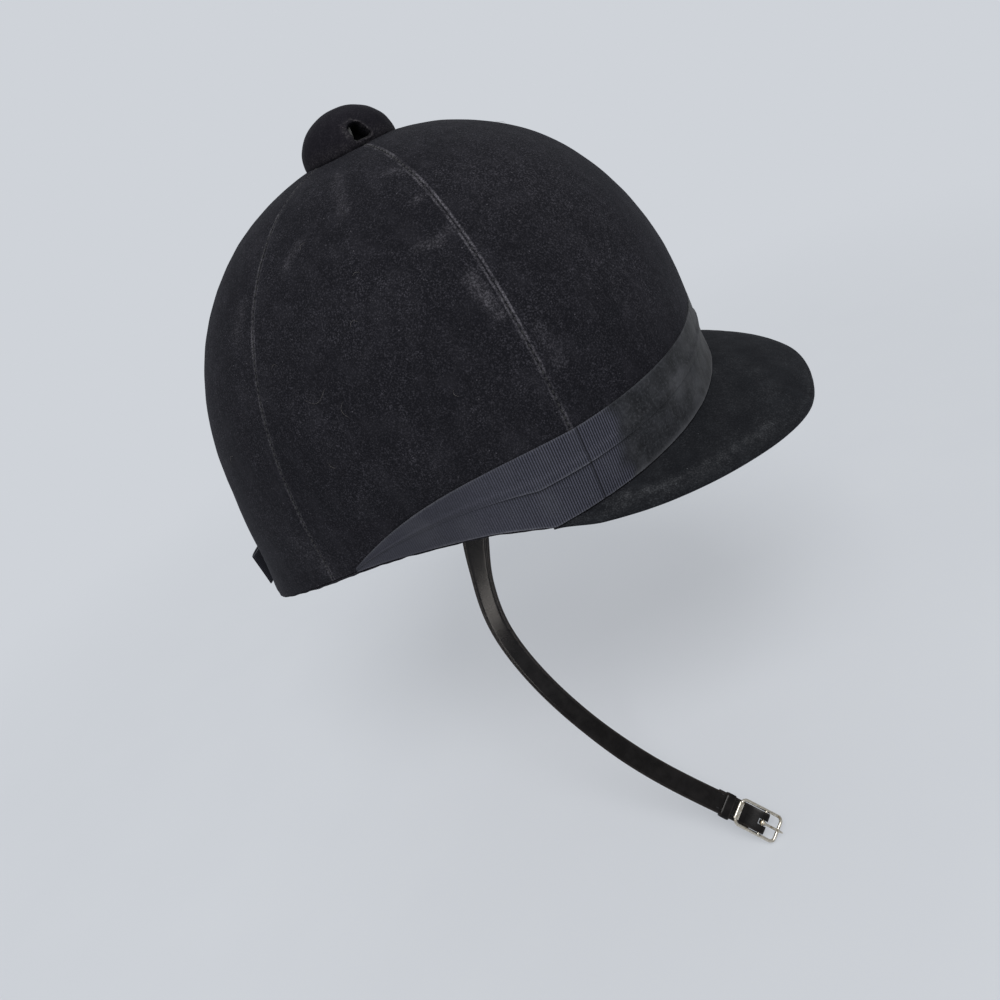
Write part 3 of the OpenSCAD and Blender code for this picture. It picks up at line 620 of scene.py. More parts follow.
def velvet_panel(name, t0, t1, inner, side_wear=1.0):
    """Panel from angle t0 to t1, with so many columns of points between those beside its seams."""
    dense = np.linspace(t0, t1, 500)
    low = cover_low(dense)
    rows = []
    for share in np.linspace(0, 1, PANEL_ROWS) ** 0.97:
        height = low + (CROWN_HIGH - low) * math.sin(math.radians(share * TOP_ANGLE))
        run = run_along(crown(dense, height))
        near = SEAM_STEPS * min(1, run[-1] / 34)
        at = np.concatenate([near, np.linspace(near[-1], run[-1] - near[-1], inner + 2)[1:-1],
                             run[-1] - near[::-1]])
        rows.append((np.interp(at, run, dense), np.interp(at, run, height), np.minimum(at, run[-1] - at)))
    t, z, gap = (np.array(g).T for g in zip(*rows))
    p = crown(t, z)
    a = abs(wrap(t))
    hem = np.linalg.norm(p - p[:, :1], axis=-1)
    d = 0.14 * bell(gap, 0.4) + 0.14 * bell(gap, 2.4)
    d += 0.08 * lumps(p, 2.3, 3) * bell(gap, 1.6) - 0.2 * lumps(p, 46, 5) - 0.07 * lumps(p, 13, 6)
    # Rolled in at the hem
    d += 0.6 * (1 - ease(hem / 3.2)) * ease((a - 62) / 5) + 0.5 * (1 - ease(hem / 7)) * ease((a - 118) / 12)
    # Fuller above the ribbon in front, and pressed flat under it
    d -= 0.95 * (1 - ease((a - 35) / 30)) * ease((z - 46) / 24) * (1 - ease((z - 126) / 24))
    d += press(t) * (1 - ease((z - ribbon_hi(wrap(t)) + 0.5) / 2.5)) * (a < SEAM_BACK)
    form = skin(deep(t, z, np.clip(d, -1.6, 0.93)), deep(t, z, VELVET))
    strong = bell(wrap(t + SEAM_FRONT), 20) * (0.35 + 0.65 * ease((z - 70) / 20)) * ease((z - 24) / 8)
    wear = np.clip(0.36 + 0.16 * lumps(p, 35, 8) + 0.45 * strong, 0.05, 0.8) * side_wear
    made = piece(name, form, velvet, "cap", "velvet", [name], gap=gap, dust=dust_at(p), wear=wear)


velvet_panel("velvet_front", -SEAM_FRONT, SEAM_FRONT, 54)
velvet_panel("velvet_left", SEAM_FRONT, SEAM_BACK, 32)
velvet_panel("velvet_rear", SEAM_BACK, 360 - SEAM_BACK, 64)
velvet_panel("velvet_right", 360 - SEAM_BACK, 360 - SEAM_FRONT, 32, 0.75)


def seam_stitches():
    """Stitches up the four seams."""
    rise = np.sin(np.radians(np.linspace(0.5, 84, 400)))
    forms = []
    for t in (-SEAM_BACK, -SEAM_FRONT, SEAM_FRONT, SEAM_BACK):
        z = cover_low(t) + (CROWN_HIGH - cover_low(t)) * rise
        forms.append(stitch_row(deep(t, z, 0.2), outward(t, z), 2.6, 1.0, 1.6, 0.32, 0.12))
    return join(forms)


piece("seam_threads", seam_stitches(), thread_black, "cap", "velvet")


# Strip of velvet on the wall below the peak
def front_facing():
    t = np.linspace(-46.5, 46.5, 120)[:, None]
    f = ease(np.linspace(0, 1, 9))
    z = rim(t) + (root(t) - PEAK_THICK - 0.1 - rim(t)) * f
    edge = 0.35 * bell(np.minimum(f, 1 - f), 0.12) + 0.06 * lumps(crown(t, z), 4, 12)
    form = skin(deep(t, z, edge), deep(t, z, VELVET))
    piece("front_facing", form, velvet, "cap", "velvet", ["front_facing"], gap=NO_SEAM)


front_facing()


def rim_binding():
    """Binding with a rounded flat section, just below the rim."""
    t = np.linspace(0, 360, 720, endpoint=False)[:, None]
    side = abs(wrap(t))
    pocket = ease((side - SEAM_FRONT - 1.2 * SIDE_STEP) / 5) * ease((SEAM_FRONT + 6.8 * SIDE_STEP - side) / 5)
    d_out = 1 - 0.38 * beside_peak(t, 6) + 0.6 * ease((side - 118) / 12)
    d_in = D_INNER + (D_FOAM - D_INNER) * pocket
    c, s = circle(36)
    d = (d_out + d_in) / 2 + (d_in - d_out) / 2 * boxy(c, 0.35)
    p = deep(t, rim(t), d)
    high = (SEAT_GAP + BINDING - 0.04) * (1 - 0.55 * ease((side - 112) / 14)) + 0.3 * lumps(p, 7, 15)
    rings = p - (0.04 + high * (1 - boxy(s, 0.8)) / 2)[..., None] * UP
    piece("rim_binding", sweep(rings, True), velvet, "cap", "velvet", ["rim_binding"], gap=NO_SEAM, dust=0.05)


rim_binding()

# Peak: a board between a velvet cover and a plain under cloth, with a rounded edge
PEAK_T = np.linspace(-64.25, 64.25, 420)


def peak_reach(t):
    """How far the peak stands out, apart from the small bulges of its edge."""
    return PEAK_OUT * np.maximum(0, cosd(90 * t / PEAK_ANGLE)) ** PEAK_FULL


def peak_point(t, f, down):
    """Place on the peak at angle t, at share f of its reach and so far below its top."""
    a = abs(t)
    reach = peak_reach(t)
    # The edge bulges a little beside the tip and near its ends
    reach = reach + 0.8 * bell(a - 13, 7) - 0.5 * bell(a - 31, 7) + 1.0 * bell(a - 50, 8)
    c, s = trig(t * PEAK_TURN)
    gc, gs = trig(PEAK_DROOP - PEAK_FLATTER * (t / PEAK_ANGLE) ** 2)
    x, y = c * gc * reach * f, s * gc * reach * f
    z = -gs * reach * (0.8 * f + 0.2 * f**4) - down
    return deep(t, root(t), VELVET) + coords(x, y, z)


def thin_end(t):
    """Share of its thickness that the peak has at angle t."""
    return 0.3 + 0.7 * ease((PEAK_ANGLE - abs(t)) / 8)


def peak_layer(name, d0, d1, finish, slot, bulge):
    f = np.linspace(0, 1, 46) ** 0.9
    t = PEAK_T[:, None]
    flat = peak_point(t, f, 0)
    wave = bulge * (0.2 * lumps(flat, 24, 21) + 0.08 * lumps(flat, 8, 22))
    wave = wave * np.sin(math.pi * np.clip(f, 0, 1)) ** 0.5
    top = peak_point(t, f, d0 * thin_end(t) - (wave if d0 == 0 else 0))
    under = peak_point(t, f, d1 * thin_end(t) + (wave if d0 > 1 and d1 > 4 else 0))
    edge_away = np.linalg.norm(flat - peak_point(t, 1, 0), axis=-1)
    dust = peak_dust(flat, edge_away, t)
    piece(name, skin(top, under), finish, "cap", slot, [name], gap=NO_SEAM, dust=dust)


def peak_dust(p, away, t):
    """A painted highlight along the bend inside the edge and near both ends, faint smudges and the slightly
    rubbed edge.
    """
    # Painted highlight where the peak bends down towards its edge, and a pale patch of painted light near
    # each end
    streak = 0.38 * bell(away - 4.6, 2.2) * ease((abs(t) - 18) / 12) * ease((57 - abs(t)) / 8)
    streak = streak + 0.22 * bell(away - 6, 3.5) * bell(abs(t) - 50, 4)
    rubbed = 0.12 * bell(away, 1.6)
    blots = np.clip(0.16 + 0.3 * lumps(p * np.array([1.6, 0.8, 1]), 17, 25), 0, 0.5)
    return np.clip(streak * (0.7 + 0.5 * lumps(p, 7, 26)) + rubbed + 0.28 * blots, 0, 0.8)


peak_layer("peak_top_cover", 0, PEAK_COVER, peak_velvet, "velvet", 1.0)
peak_layer("peak_core", PEAK_COVER, PEAK_COVER + PEAK_BOARD, shell_resin, "shell", 0.0)
peak_layer("peak_under_cover", PEAK_COVER + PEAK_BOARD, PEAK_THICK, under_cloth, "under_cloth", 1.0)


def peak_edge():
    edge = peak_point(PEAK_T, 1, 0)
    along = unit(np.gradient(edge, axis=0))
    side = unit(coords(along[:, 1], -along[:, 0], 0))
    turn = np.linspace(0, math.pi, 17)
    reach = PEAK_BEAD * np.sin(turn) ** 0.8
    down = (PEAK_THICK + 0.1) * (1 - np.cos(turn)) / 2 - 0.03
    thick = thin_end(PEAK_T)[:, None, None]
    wave = 1 + 0.05 * lumps(edge, 9, 31)[:, None, None]
    outer = edge[:, None] + side[:, None] * (reach[None, :, None] * thick * wave)
    outer = outer - UP * down[None, :, None] * thick
    inner = edge[:, None] - side[:, None] * 0.6 - UP * (down[::-1][None, :, None] * thick)
    rings = np.concatenate([outer, inner[:, 2:-2]], 1)
    piece("peak_edge", sweep(rings), peak_velvet, "cap", "velvet", ["peak_edge"], gap=NO_SEAM, dust=0.1)


peak_edge()


def peak_stitches():
    """Stitch line under the peak, inside its edge."""
    t = np.linspace(-59, 59, 700)
    path = peak_point(t, 1 - 3.2 / peak_reach(t), (PEAK_THICK + 0.02) * thin_end(t))
    return stitch_row(path, -UP, 3.4, 0.0, 2.3, 0.2, 0.16)


piece("peak_threads", peak_stitches(), thread_black, "cap", "under_cloth")


# Ribbon band in two laps, ribbed across, with a crease at the right and left
def ribbon_lo(t):
    """Lower edge of the ribbon."""
    side = beside_peak(t)
    return (root(t) + 0.3) * (1 - side) + (rim(t) + 0.2) * side


def flare(t):
    """How far the ribbon's lower edge stands out."""
    return RIBBON_FLARE * np.maximum(0, cosd(1.4 * t)) ** 2


def ribbon_lap(name, f, lift, flared, edges):
    """One lap of the band, with rows at shares f of its height and edges at two of them."""
    dense = np.linspace(-RIBBON_END, RIBBON_END, 3000)
    run = run_along(crown(dense, 25.0))
    count = int(run[-1] / RIB_PITCH) * RIB_COLUMNS
    at = np.linspace(0, run[-1], count + 1)
    t = np.interp(at, run, dense)[:, None]
    z = ribbon_lo(t) + (ribbon_hi(t) - ribbon_lo(t)) * f
    p = crown(t, z)
    rubbed = ease((49 - abs(t) + 2.5 * lumps(p, 12, 41)) / 5)
    phase = (np.arange(count + 1) % RIB_COLUMNS)[:, None] / RIB_COLUMNS
    crest = 0.5 + 0.5 * np.cos(2 * math.pi * phase)
    high = ribbon_hi(t) - ribbon_lo(t)
    # The step between the laps shows most beside the crease
    step = (0.2 + 0.8 * bell(abs(t) - 58, 14)) * (1 - ease((abs(t) - 66) / 14))
    # Pale line along the lap edges, partly worn selvedge and partly painted highlight
    edge = bell(abs(f - edges[0]) * high, 0.45) * (step if edges[0] > 0 else 1)
    edge = np.maximum(edge, bell(abs(f - edges[1]) * high, 0.45))
    crease = bell((abs(t) - CREASE_T) * 1.75, 0.32)
    fold = bell((abs(t) - CREASE_T + 1.1) * 1.75, 1.6)
    # The ribs fade towards the ends
    crest = 0.5 + (crest - 0.5) * (1 - 0.8 * ease((abs(t) - RIBBON_BEND) / 28))
    height = 0.15 * (crest - 0.6) * (1 - 0.85 * rubbed) * (1 - edge) + 0.05 * edge
    height = height - 0.35 * crease + 0.12 * fold + 0.16 * lumps(p, 21, 43) + 0.07 * lumps(p, 6, 44) * rubbed
    outer = lift + 0.05 + flare(t) * flared
    if edges[0] > 0:
        height = height - 0.8 * RIBBON * (1 - step) * (1 - ease((f - edges[0]) / 0.1))
    top = deep(t, z, press(t) - outer - RIBBON - np.maximum(height, -0.5))
    under = deep(t, z, press(t) - outer)
    pale_streaks = bell(f - 0.2, 0.16) * bell(t + 19, 6) + bell(t + 27, 5) * bell(f - 0.55, 0.2)
    dust = 0.22 * rubbed * pale_streaks + 0.06 * np.clip(lumps(p, 15, 45), 0, 1)
    shade = 0.24 * ease((abs(t) - 70) / 14) + 0.5 * crease + 0 * z
    if edges[0] == 0:
        # Painted highlight along the flared lower edge, where it catches light
        dust = dust + 0.28 * rubbed * bell(f * high, 1.5)
        shade = shade + 0.7 * bell((f - 0.525) * high, 0.5) * step
    edge = edge * (1 - 0.7 * rubbed) * np.clip(0.5 + 0.3 * lumps(p, 30, 46), 0.1, 1)
    piece(name, skin(top, under), ribbon_cloth, "cap", "ribbon", [name],
          crest=crest + 0 * z, rubbed=rubbed, edge=edge, dust=dust, shade=shade)


lower_f = np.array([0, 0.012, 0.03, 0.07, 0.13, 0.2, 0.27, 0.34, 0.41, 0.47, 0.51, 0.525, 0.54, 0.57, 0.6])
ribbon_lap("ribbon_lower", lower_f, 0, (1 - ease(lower_f / 0.42)) ** 1.3, (0, LOWER_TO))
upper_f = np.array([0.53, 0.542, 0.56, 0.59, 0.62, 0.645, 0.67, 0.72, 0.78, 0.84, 0.9, 0.95, 0.975, 0.988, 1])
upper_lift = (RIBBON + 0.05) * (1 - ease((upper_f - 0.62) / 0.06))
ribbon_lap("ribbon_upper", upper_f, upper_lift, 0, (UPPER_FROM, 1))


# Bow at the back
def bow_wall(u, w):
    """Places round the bow: u from -1 to 1 along it and w outward from its middle."""
    t = 180 + BOW_TURN * BOW_HALF * u
    step = crown(t + 0.5, 0) - crown(t - 0.5, 0)
    way = unit(coords(step[..., 1], -step[..., 0]))
    return crown(t, 0)[..., :2] + way * (BOW_GAP + BOW_DEEP / 2 + BOW_LIFT * u * u + w)[:, None]


def bow_loops():
    c, s = circle(1600)
    u = -c
    side = np.sign(s) * np.sqrt(1 - u**10)
    high = np.linspace(-0.5, 0.5, 15)
    middle = bow_wall(u, 0)
    y = middle[:, 1]
    run = np.sign(u) * np.hypot(middle[:, 0] + CROWN_BACK + BOW_GAP + BOW_DEEP / 2, y)
    pinch = 1 - 0.42 * bell(y, 9)
    rib = 0.07 * np.cos(2 * math.pi * run / RIB_PITCH)
    grids = []
    for off in (0.0, RIBBON):
        wave = side * rib if off == 0.0 else 0 * rib
        flat = bow_wall(u * (1 - off / BOW_HALF), side * (BOW_DEEP / 2 - off) * (0.75 + 0.25 * pinch) + wave)
        z = BOW_Z + BOW_HIGH / 2 + BOW_HIGH * high[None] * pinch[:, None]
        ripple = lumps(coords(run / 9, 0, 0), 3.5, 52)
        z = z + 0.5 * ripple[:, None] * (2 * abs(high)) ** 2
        p = coords(flat[:, :1], flat[:, 1:], z)
        swell = 0.16 * lumps(p, 17, 51) * bell(y, 60)[:, None]
        p[..., :2] += swell[..., None] * unit(p[..., :2] * np.array([1.0, 0.6]))
        grids.append(p)
    # Rib crests for painted light and shade, and pale edges, partly worn and partly painted highlight
    crest = (0.5 + 0.5 * np.cos(2 * math.pi * run / RIB_PITCH))[:, None] + 0 * high
    edge = bell((0.5 - abs(high))[None] * BOW_HIGH, 0.5) + 0 * crest
    piece("bow_loops", skin(grids[0], grids[1], ring=True), ribbon_cloth, "cap", "ribbon", ["bow_loops"],
          crest=crest, edge=0.35 * edge, dust=0.04)


def bow_knot():
    x0 = -CROWN_BACK - BOW_GAP - BOW_DEEP / 2
    z0 = BOW_Z + BOW_HIGH / 2
    c, s = circle(64)
    hx, hz = (BOW_DEEP / 2 + 0.78) * boxy(c, 0.4), (BOW_HIGH * 0.30 + 0.9) * boxy(s, 0.55)
    y = np.linspace(-KNOT_HALF, KNOT_HALF, 41)[:, None]
    fold = 0.22 * np.cos(2 * math.pi * y / KNOT_FOLD) * (c < 0)
    swell = 1 + 0.05 * np.cos(y / KNOT_HALF * math.pi / 2)
    outer = coords(x0 + (hx - fold * 0.8) * swell, y, z0 + hz * swell)
    inner = coords(x0 + hx * 0.8, y, z0 + hz * 0.86)
    y = y + 0 * c
    # Rib crests across the knot, for painted light and shade of its ribs
    crest = 0.5 + 0.5 * np.cos(6 * math.pi * y / KNOT_FOLD)
    piece("bow_knot", skin(outer, inner, ring_down=True), ribbon_cloth, "cap", "ribbon", ["bow_knot"],
          crest=crest, edge=0.4 * bell(KNOT_HALF - abs(y), 0.5), dust=0.04)


bow_loops()
bow_knot()


# Button on top, with two vents
def vent_gap(az, el):
    """Distance from the nearest vent's edge over the button, below zero inside, and the side of the vent."""
    best, beside = np.full(az.shape, 99.0), np.zeros(az.shape)
    for side in (-1, 1):
        down = np.radians(15 - el) * BUTTON_R
        across = -side * np.radians(wrap(az - side * VENT_ANGLE)) * BUTTON_R * cosd(el)
        h = np.clip((down + 2.6) / 5.0, 0, 1)
        flank, foot = abs(across + 1 - h) - 2.8 - 0.8 * h, down - 3.4
        corner = np.hypot(np.maximum(flank + 1, 0), np.maximum(foot + 1, 0)) - 1
        square = np.where((flank > -1) & (foot > -1), corner, np.maximum(flank, foot))
        away = np.where(down < -2.6, np.hypot(down + 2.6, across + 1) - 2.8, square)
        beside = np.where(away < best, across, beside)
        best = np.minimum(best, away)
    return best, beside


def button_cover():
    az = np.linspace(0, 360, 340, endpoint=False)[:, None]
    el = np.concatenate([np.linspace(-4, 36, 104), 36 + 53.4 * np.linspace(0, 1, 56)[1:]])[None]
    az, el = np.broadcast_arrays(az, el)
    gap, beside = vent_gap(az, el)
    ca, sa = trig(az)
    ce, se = trig(el)
    way = coords(ce * ca, ce * sa, se)
    gap = gap - 0.35
    pit = 6.6 * ease(-gap / 0.5)
    lip = 0.3 * bell(gap - 0.7, 0.6) + 0.35 * bell(gap - 1.8, 1.5) * (beside < 0)
    off = -0.1 + lip - pit + 0.12 * lumps(way * BUTTON_R, 9, 61) - 0.35 * bell(el + 4, 3)
    centre = np.array([TOP_SHIFT, 0, CROWN_HIGH - 1.0])
    size = np.array([BUTTON_R, BUTTON_R, BUTTON_HIGH])
    outer, inner = centre + way * (size + off[..., None]), centre + way * (size + off[..., None] - 0.9)
    # Pale lips beside the vents and a pale band low on the button; the pit and gap marks paint shade down
    # inside the vents
    thin = 0.65 * bell(gap - 0.35, 0.36) * (beside > 0) * ease((gap + 0.1) / 0.2)
    soft = 0.34 * bell(gap - 1.5, 1.1) * (beside < 0) * ease((el - 6) / 12)
    piece("button_cover", skin(outer, inner, ring=True), button_velvet, "cap", "velvet", ["button_cover"],
          pit=ease(-gap / 0.3), gap=np.clip(3 * (gap + 0.25), 0, 9) + 2.2 * (gap > 0),
          dust=np.clip(thin + soft + 0.04 + 0.16 * bell(el - 4, 9), 0, 0.7))


button_cover()

# Lining, pad, foam and headband
INSIDE_T = np.linspace(0, 360, 900, endpoint=False)


def lining():
    v = np.linspace(0, 1, 70)
    t = INSIDE_T[:, None]
    low = rim(t) + 1.0
    z = low + (CROWN_HIGH - low) * np.sin(np.radians(v * 81.5))
    p = crown(t, z)
    warped = t + 2.2 * lumps(p, 70, 71)
    fold = 0.5 + 0.5 * cosd(warped * 40)
    fine = 0.5 + 0.5 * cosd(warped * 120 + 40 * lumps(p, 30, 72))
    rise = ease((v - 0.2) / 0.75)
    puff = rise * (2.3 * fold**0.7 + 0.5 * fine) + 0.25 * (1 + lumps(p, 16, 73)) * ease((v - 0.15) / 0.2)
    d = D_SATIN + 0.5 + puff
    form = skin(deep(t, z, d - 0.45), deep(t, z, d), ring=True)
    made = piece("satin_lining", form, satin, "cap", "satin", ["satin_lining"])


lining()


def crown_pad():
    """Round quilted pad in the top of the lining, with a covered button in its middle."""
    r, az = np.linspace(0.02, 1, 46), np.linspace(0, 360, 240, endpoint=False)
    c, s = trig(az)
    x, y = TOP_SHIFT + PAD_R * r * c[:, None], PAD_R * r * s[:, None]
    top_z = CROWN_HIGH - D_FOAM - 2 - (PAD_R * r) ** 2 / (2 * 124)
    petal = abs(cosd(az * 4))[:, None] ** 0.45
    puff = 6.2 * np.sqrt(1 - r**6) * (0.62 + 0.38 * petal * np.sin(math.pi * r) ** 0.5)
    upper = coords(x, y, top_z)
    lower = coords(x, y, top_z - puff + 3.4 * bell(PAD_R * r, 4.2))
    lower[..., 2] += 0.12 * lumps(lower, 5, 81)
    forms = [skin(upper, lower, ring=True)]
    edge_r = PAD_R + 0.2
    edge = coords(TOP_SHIFT + edge_r * c, edge_r * s, top_z[-1] - 0.6)
    forms.append(tube(edge, 1.25 + 0.12 * cosd(az * 60), 12, closed=True))
    forms.append(dome_button((TOP_SHIFT, 0, top_z[0] - 2.6), 5.0))
    made = piece("crown_pad", join(forms), satin, "cap", "satin", ["crown_pad"])


def dome_button(centre, radius):
    """Small covered button that faces down."""
    c, s = circle(48)
    share = math.pi * np.linspace(0.02, 0.98, 16)[:, None]
    size, z = radius * np.sin(share) ** 0.7, centre[2] + 1.5 * np.cos(share) - 1.2
    return sweep(coords(centre[0] + size * c, centre[1] + size * s, z))


crown_pad()


def band_rows(t, heights, d):
    """Rows at heights above the rim, for angles t and depth d."""
    return deep(t[:, None], rim(t)[:, None] + heights, d)


def foam_strip(name, t0, t1):
    t = np.linspace(t0, t1, 260)
    h = np.concatenate([np.linspace(0.1, BAND_HIGH - 5.5, 16), BAND_HIGH - 3.2 + np.linspace(-1.44, 0, 8)])
    crowned = np.sqrt(np.clip((BAND_HIGH - 3 - h) / 2.2, 0.02, 1))
    mid, half = (D_SATIN + 0.8 + 14.1) / 2, (14.1 - D_SATIN - 0.8) / 2
    form = skin(band_rows(t, h, mid - half * crowned), band_rows(t, h, mid + half * crowned))
    made = piece(name, form, foam, "cap", "foam", [name])


foam_strip("foam_front", -SEAM_FRONT - 2 * SIDE_STEP, SEAM_FRONT + 2 * SIDE_STEP)
foam_strip("foam_rear", SEAM_FRONT + 6 * SIDE_STEP, 360 - SEAM_FRONT - 6 * SIDE_STEP)


def sweatband():
    """Leather headband with a rolled upper edge, a stitch line and a lapped seam at the back."""
    h = np.concatenate([np.linspace(0, 30, 22), np.linspace(31, BAND_HIGH - 0.6, 12)])
    roll = 0.75 * bell(h - (BAND_HIGH - 1.6), 1.2)
    groove = 0.22 * bell(h - (BAND_HIGH - 3.6), 0.5)
    t = INSIDE_T
    wave = 0.28 * lumps(band_rows(t, h, 15.0), 34, 91) * ease(h / 12)
    lap = 0.45 * ease((2.6 - abs(wrap(t - 180) - 1.5)) / 0.5)[:, None]
    inner = band_rows(t, h, D_INNER - 0.2 + roll - groove + wave + lap)
    outer = band_rows(t, h, D_BAND - 0.3 * roll + wave)
    piece("sweatband", skin(outer, inner, ring=True), band_leather, "cap", "headband_leather", ["sweatband"],
          edge=np.tile(bell(h - BAND_HIGH, 1.0), len(t)))
    row = band_rows(t, np.array([BAND_HIGH - 3.6]), D_INNER + 0.05 + wave[:, [-8]])[:, 0]
    forms = [stitch_row(row, -outward(t, rim(t) + BAND_HIGH), 3.2, 0.0, 2.2, 0.2, 0.2)]
    for x in (177.0, 180.6):
        post = band_rows(np.array([x]), np.linspace(3, BAND_HIGH - 5, 11), D_INNER + 0.55)[0]
        side = np.broadcast_to([1.0, 0, 0], post.shape)
        forms.append(threads(post, unit(np.gradient(post, axis=0)), side, 2.1, 0.2, 0.2))
    piece("sweatband_threads", join(forms), thread_brown, "cap", "headband_leather")


sweatband()


# Straps
def bez(p, f):
    """Cubic curve between the first and the last of four points."""
    f = f[:, None]
    return (1 - f) ** 3 * p[0] + 3 * (1 - f) ** 2 * f * p[1] + 3 * (1 - f) * f * f * p[2] + f**3 * p[3]


def spin(v, k, a):
    """Vectors v turned by angles a round axes k."""
    c, s = (part[:, None] for part in trig(a))
    return v * c + np.cross(k, v) * s + k * np.sum(k * v, -1, keepdims=True) * (1 - c)


def strap_section():
    """Section of a strap: crowned face, a creased line inside each edge and a flat back."""
    half = STRAP_W / 2
    s = half * np.sin(np.radians(np.linspace(-90, 90, 41)))
    face = 0.85 - 0.3 * abs(s / half) ** 7
    face = face - 0.16 * bell(abs(s) - 3.45, 0.3) + 0.05 * bell(abs(s) - 4.05, 0.25)
    back_s = half * np.sin(np.radians(np.linspace(90, -90, 15)))
    back = -0.84 + 0.3 * abs(back_s / half) ** 8
    return np.concatenate([s, back_s]), np.concatenate([face, back])


SECTION_ACROSS, SECTION_HIGH = strap_section()


def strap_rings(path, face, widths):
    along = unit(np.gradient(path, axis=0))
    n = unit(face - along * np.sum(face * along, -1, keepdims=True))
    side = np.cross(n, along)
    across = (SECTION_ACROSS * widths[:, None])[..., None]
    return path[:, None] + side[:, None] * across + n[:, None] * SECTION_HIGH[None, :, None]


def even(path, face):
    """The same path and faces with rings at a steady distance."""
    run = run_along(path)
    at = np.linspace(0, run[-1], int(run[-1] / RING_STEP))
    path, face = (coords(*(np.interp(at, run, part) for part in v.T)) for v in (path, face))
    return path, unit(face)


def soft_ends(path, both):
    """Width share along a strap whose start, or both of whose ends, are round."""
    run = run_along(path)
    share = np.ones(len(path))
    for left in (run, run[-1] - run)[: 1 + both]:
        inside = np.clip(left / (STRAP_W / 2), 0, 1)
        share = np.minimum(share, np.sqrt(np.clip(1 - (1 - inside) ** 2, 0.02, 1)))
    return share


lean_c, lean_s = trig(STRAP_LEAN)
lean = np.array([-lean_s, 0, -lean_c])
bar_at = np.array([RIVET_X + 64.7, -STRAP_Y - 20.8, RIVET_Z - 182.8])
end_dir = unit([0.764, -0.186, -0.618])
fold_at = bar_at - end_dir * FOLD_LEN
rivet_r = np.array([RIVET_X, -STRAP_Y, RIVET_Z])
exit_r = rivet_r + lean * 15 / lean_c
route_r = [exit_r, exit_r + lean * 65.6, fold_at - end_dir * 74.6, fold_at]


RIGHT = np.array([0, -1.0, 0])
# Way in which the lower part of the strap and its keeper sit off their straight line
SAG = np.array([-0.63, -0.5, -0.41])


def faced(along, f):
    """Direction that the strap's face looks in, at share f of its curve."""
    return spin(unit(RIGHT - along * (along @ RIGHT)[:, None]), along, -STRAP_TWIST * ease(f))


end_face = faced(end_dir[None], np.array([1.0]))[0]
end_side = np.cross(end_face, end_dir)


def at_bar(p, tilt=0.0):
    """Points given along, across and above the strap's end, counted from the buckle's middle bar."""
    p = np.asarray(p, float)
    c, s = trig(tilt)
    x, y, z = p[..., 0] * c + p[..., 2] * s, p[..., 1], -p[..., 0] * s + p[..., 2] * c
    return bar_at + x[..., None] * end_dir + y[..., None] * end_side + z[..., None] * end_face


def strap_marks(rings):
    """Edge marks for the rings of a strap, and for the middles of its ends."""
    return np.concatenate([np.tile(bell(abs(SECTION_ACROSS) - 4.3, 0.5), len(rings)), [0, 0]])


def cut(made, cutters):
    """Takes the cutters out of a piece."""
    for form in cutters:
        tool = add_object("cutter", mesh_of("cutter", form))
        step = made.modifiers.new("cut", "BOOLEAN")
        step.operation = "DIFFERENCE"
        step.object = tool
        step.solver = "EXACT"
        bpy.context.view_layer.update()
        result = bpy.data.meshes.new_from_object(made.evaluated_get(bpy.context.evaluated_depsgraph_get()))
        made.modifiers.remove(step)
        made.data = result
        bpy.data.objects.remove(tool)
    smooth(made.data)


def buckle_strap():
    f = np.linspace(0, 1, 160)
    curve = bez(route_r, f)
    along = unit(np.gradient(curve, axis=0))
    face = faced(along, f)
    head = rivet_r - lean * (STRAP_W / 2)
    start = head + (exit_r - head) * np.linspace(0, 1, 20)[:-1, None]
    tail = fold_at + end_dir * np.linspace(0, FOLD_LEN - 4.7, 20)[1:, None]
    path = np.concatenate([start, curve, tail])
    face = np.concatenate([np.broadcast_to(RIGHT, start.shape), face, np.broadcast_to(end_face, tail.shape)])
    path, face = even(path, face)
    run = RING_STEP * np.arange(len(path))
    wider = 1 + 0.24 * ease((run - 4) / 12) * (1 - ease((run - 22) / 26)) + 0.05 * ease((run - 130) / 30)
    # Small bends of the photographed strap: towards the back below the cap, and down before the buckle
    path = path + (0.9 * bell(run - 70, 22))[:, None] * np.array([-0.9, -0.2, 0.4])
    path = path + (1.6 * bell(run - 166, 36))[:, None] * SAG
    rings = strap_rings(path, face, soft_ends(path, False) * wider)
    piece("buckle_strap", sweep(rings), strap_leather, "buckle_strap", "strap_leather", ["buckle_strap"],
          edge=strap_marks(rings))


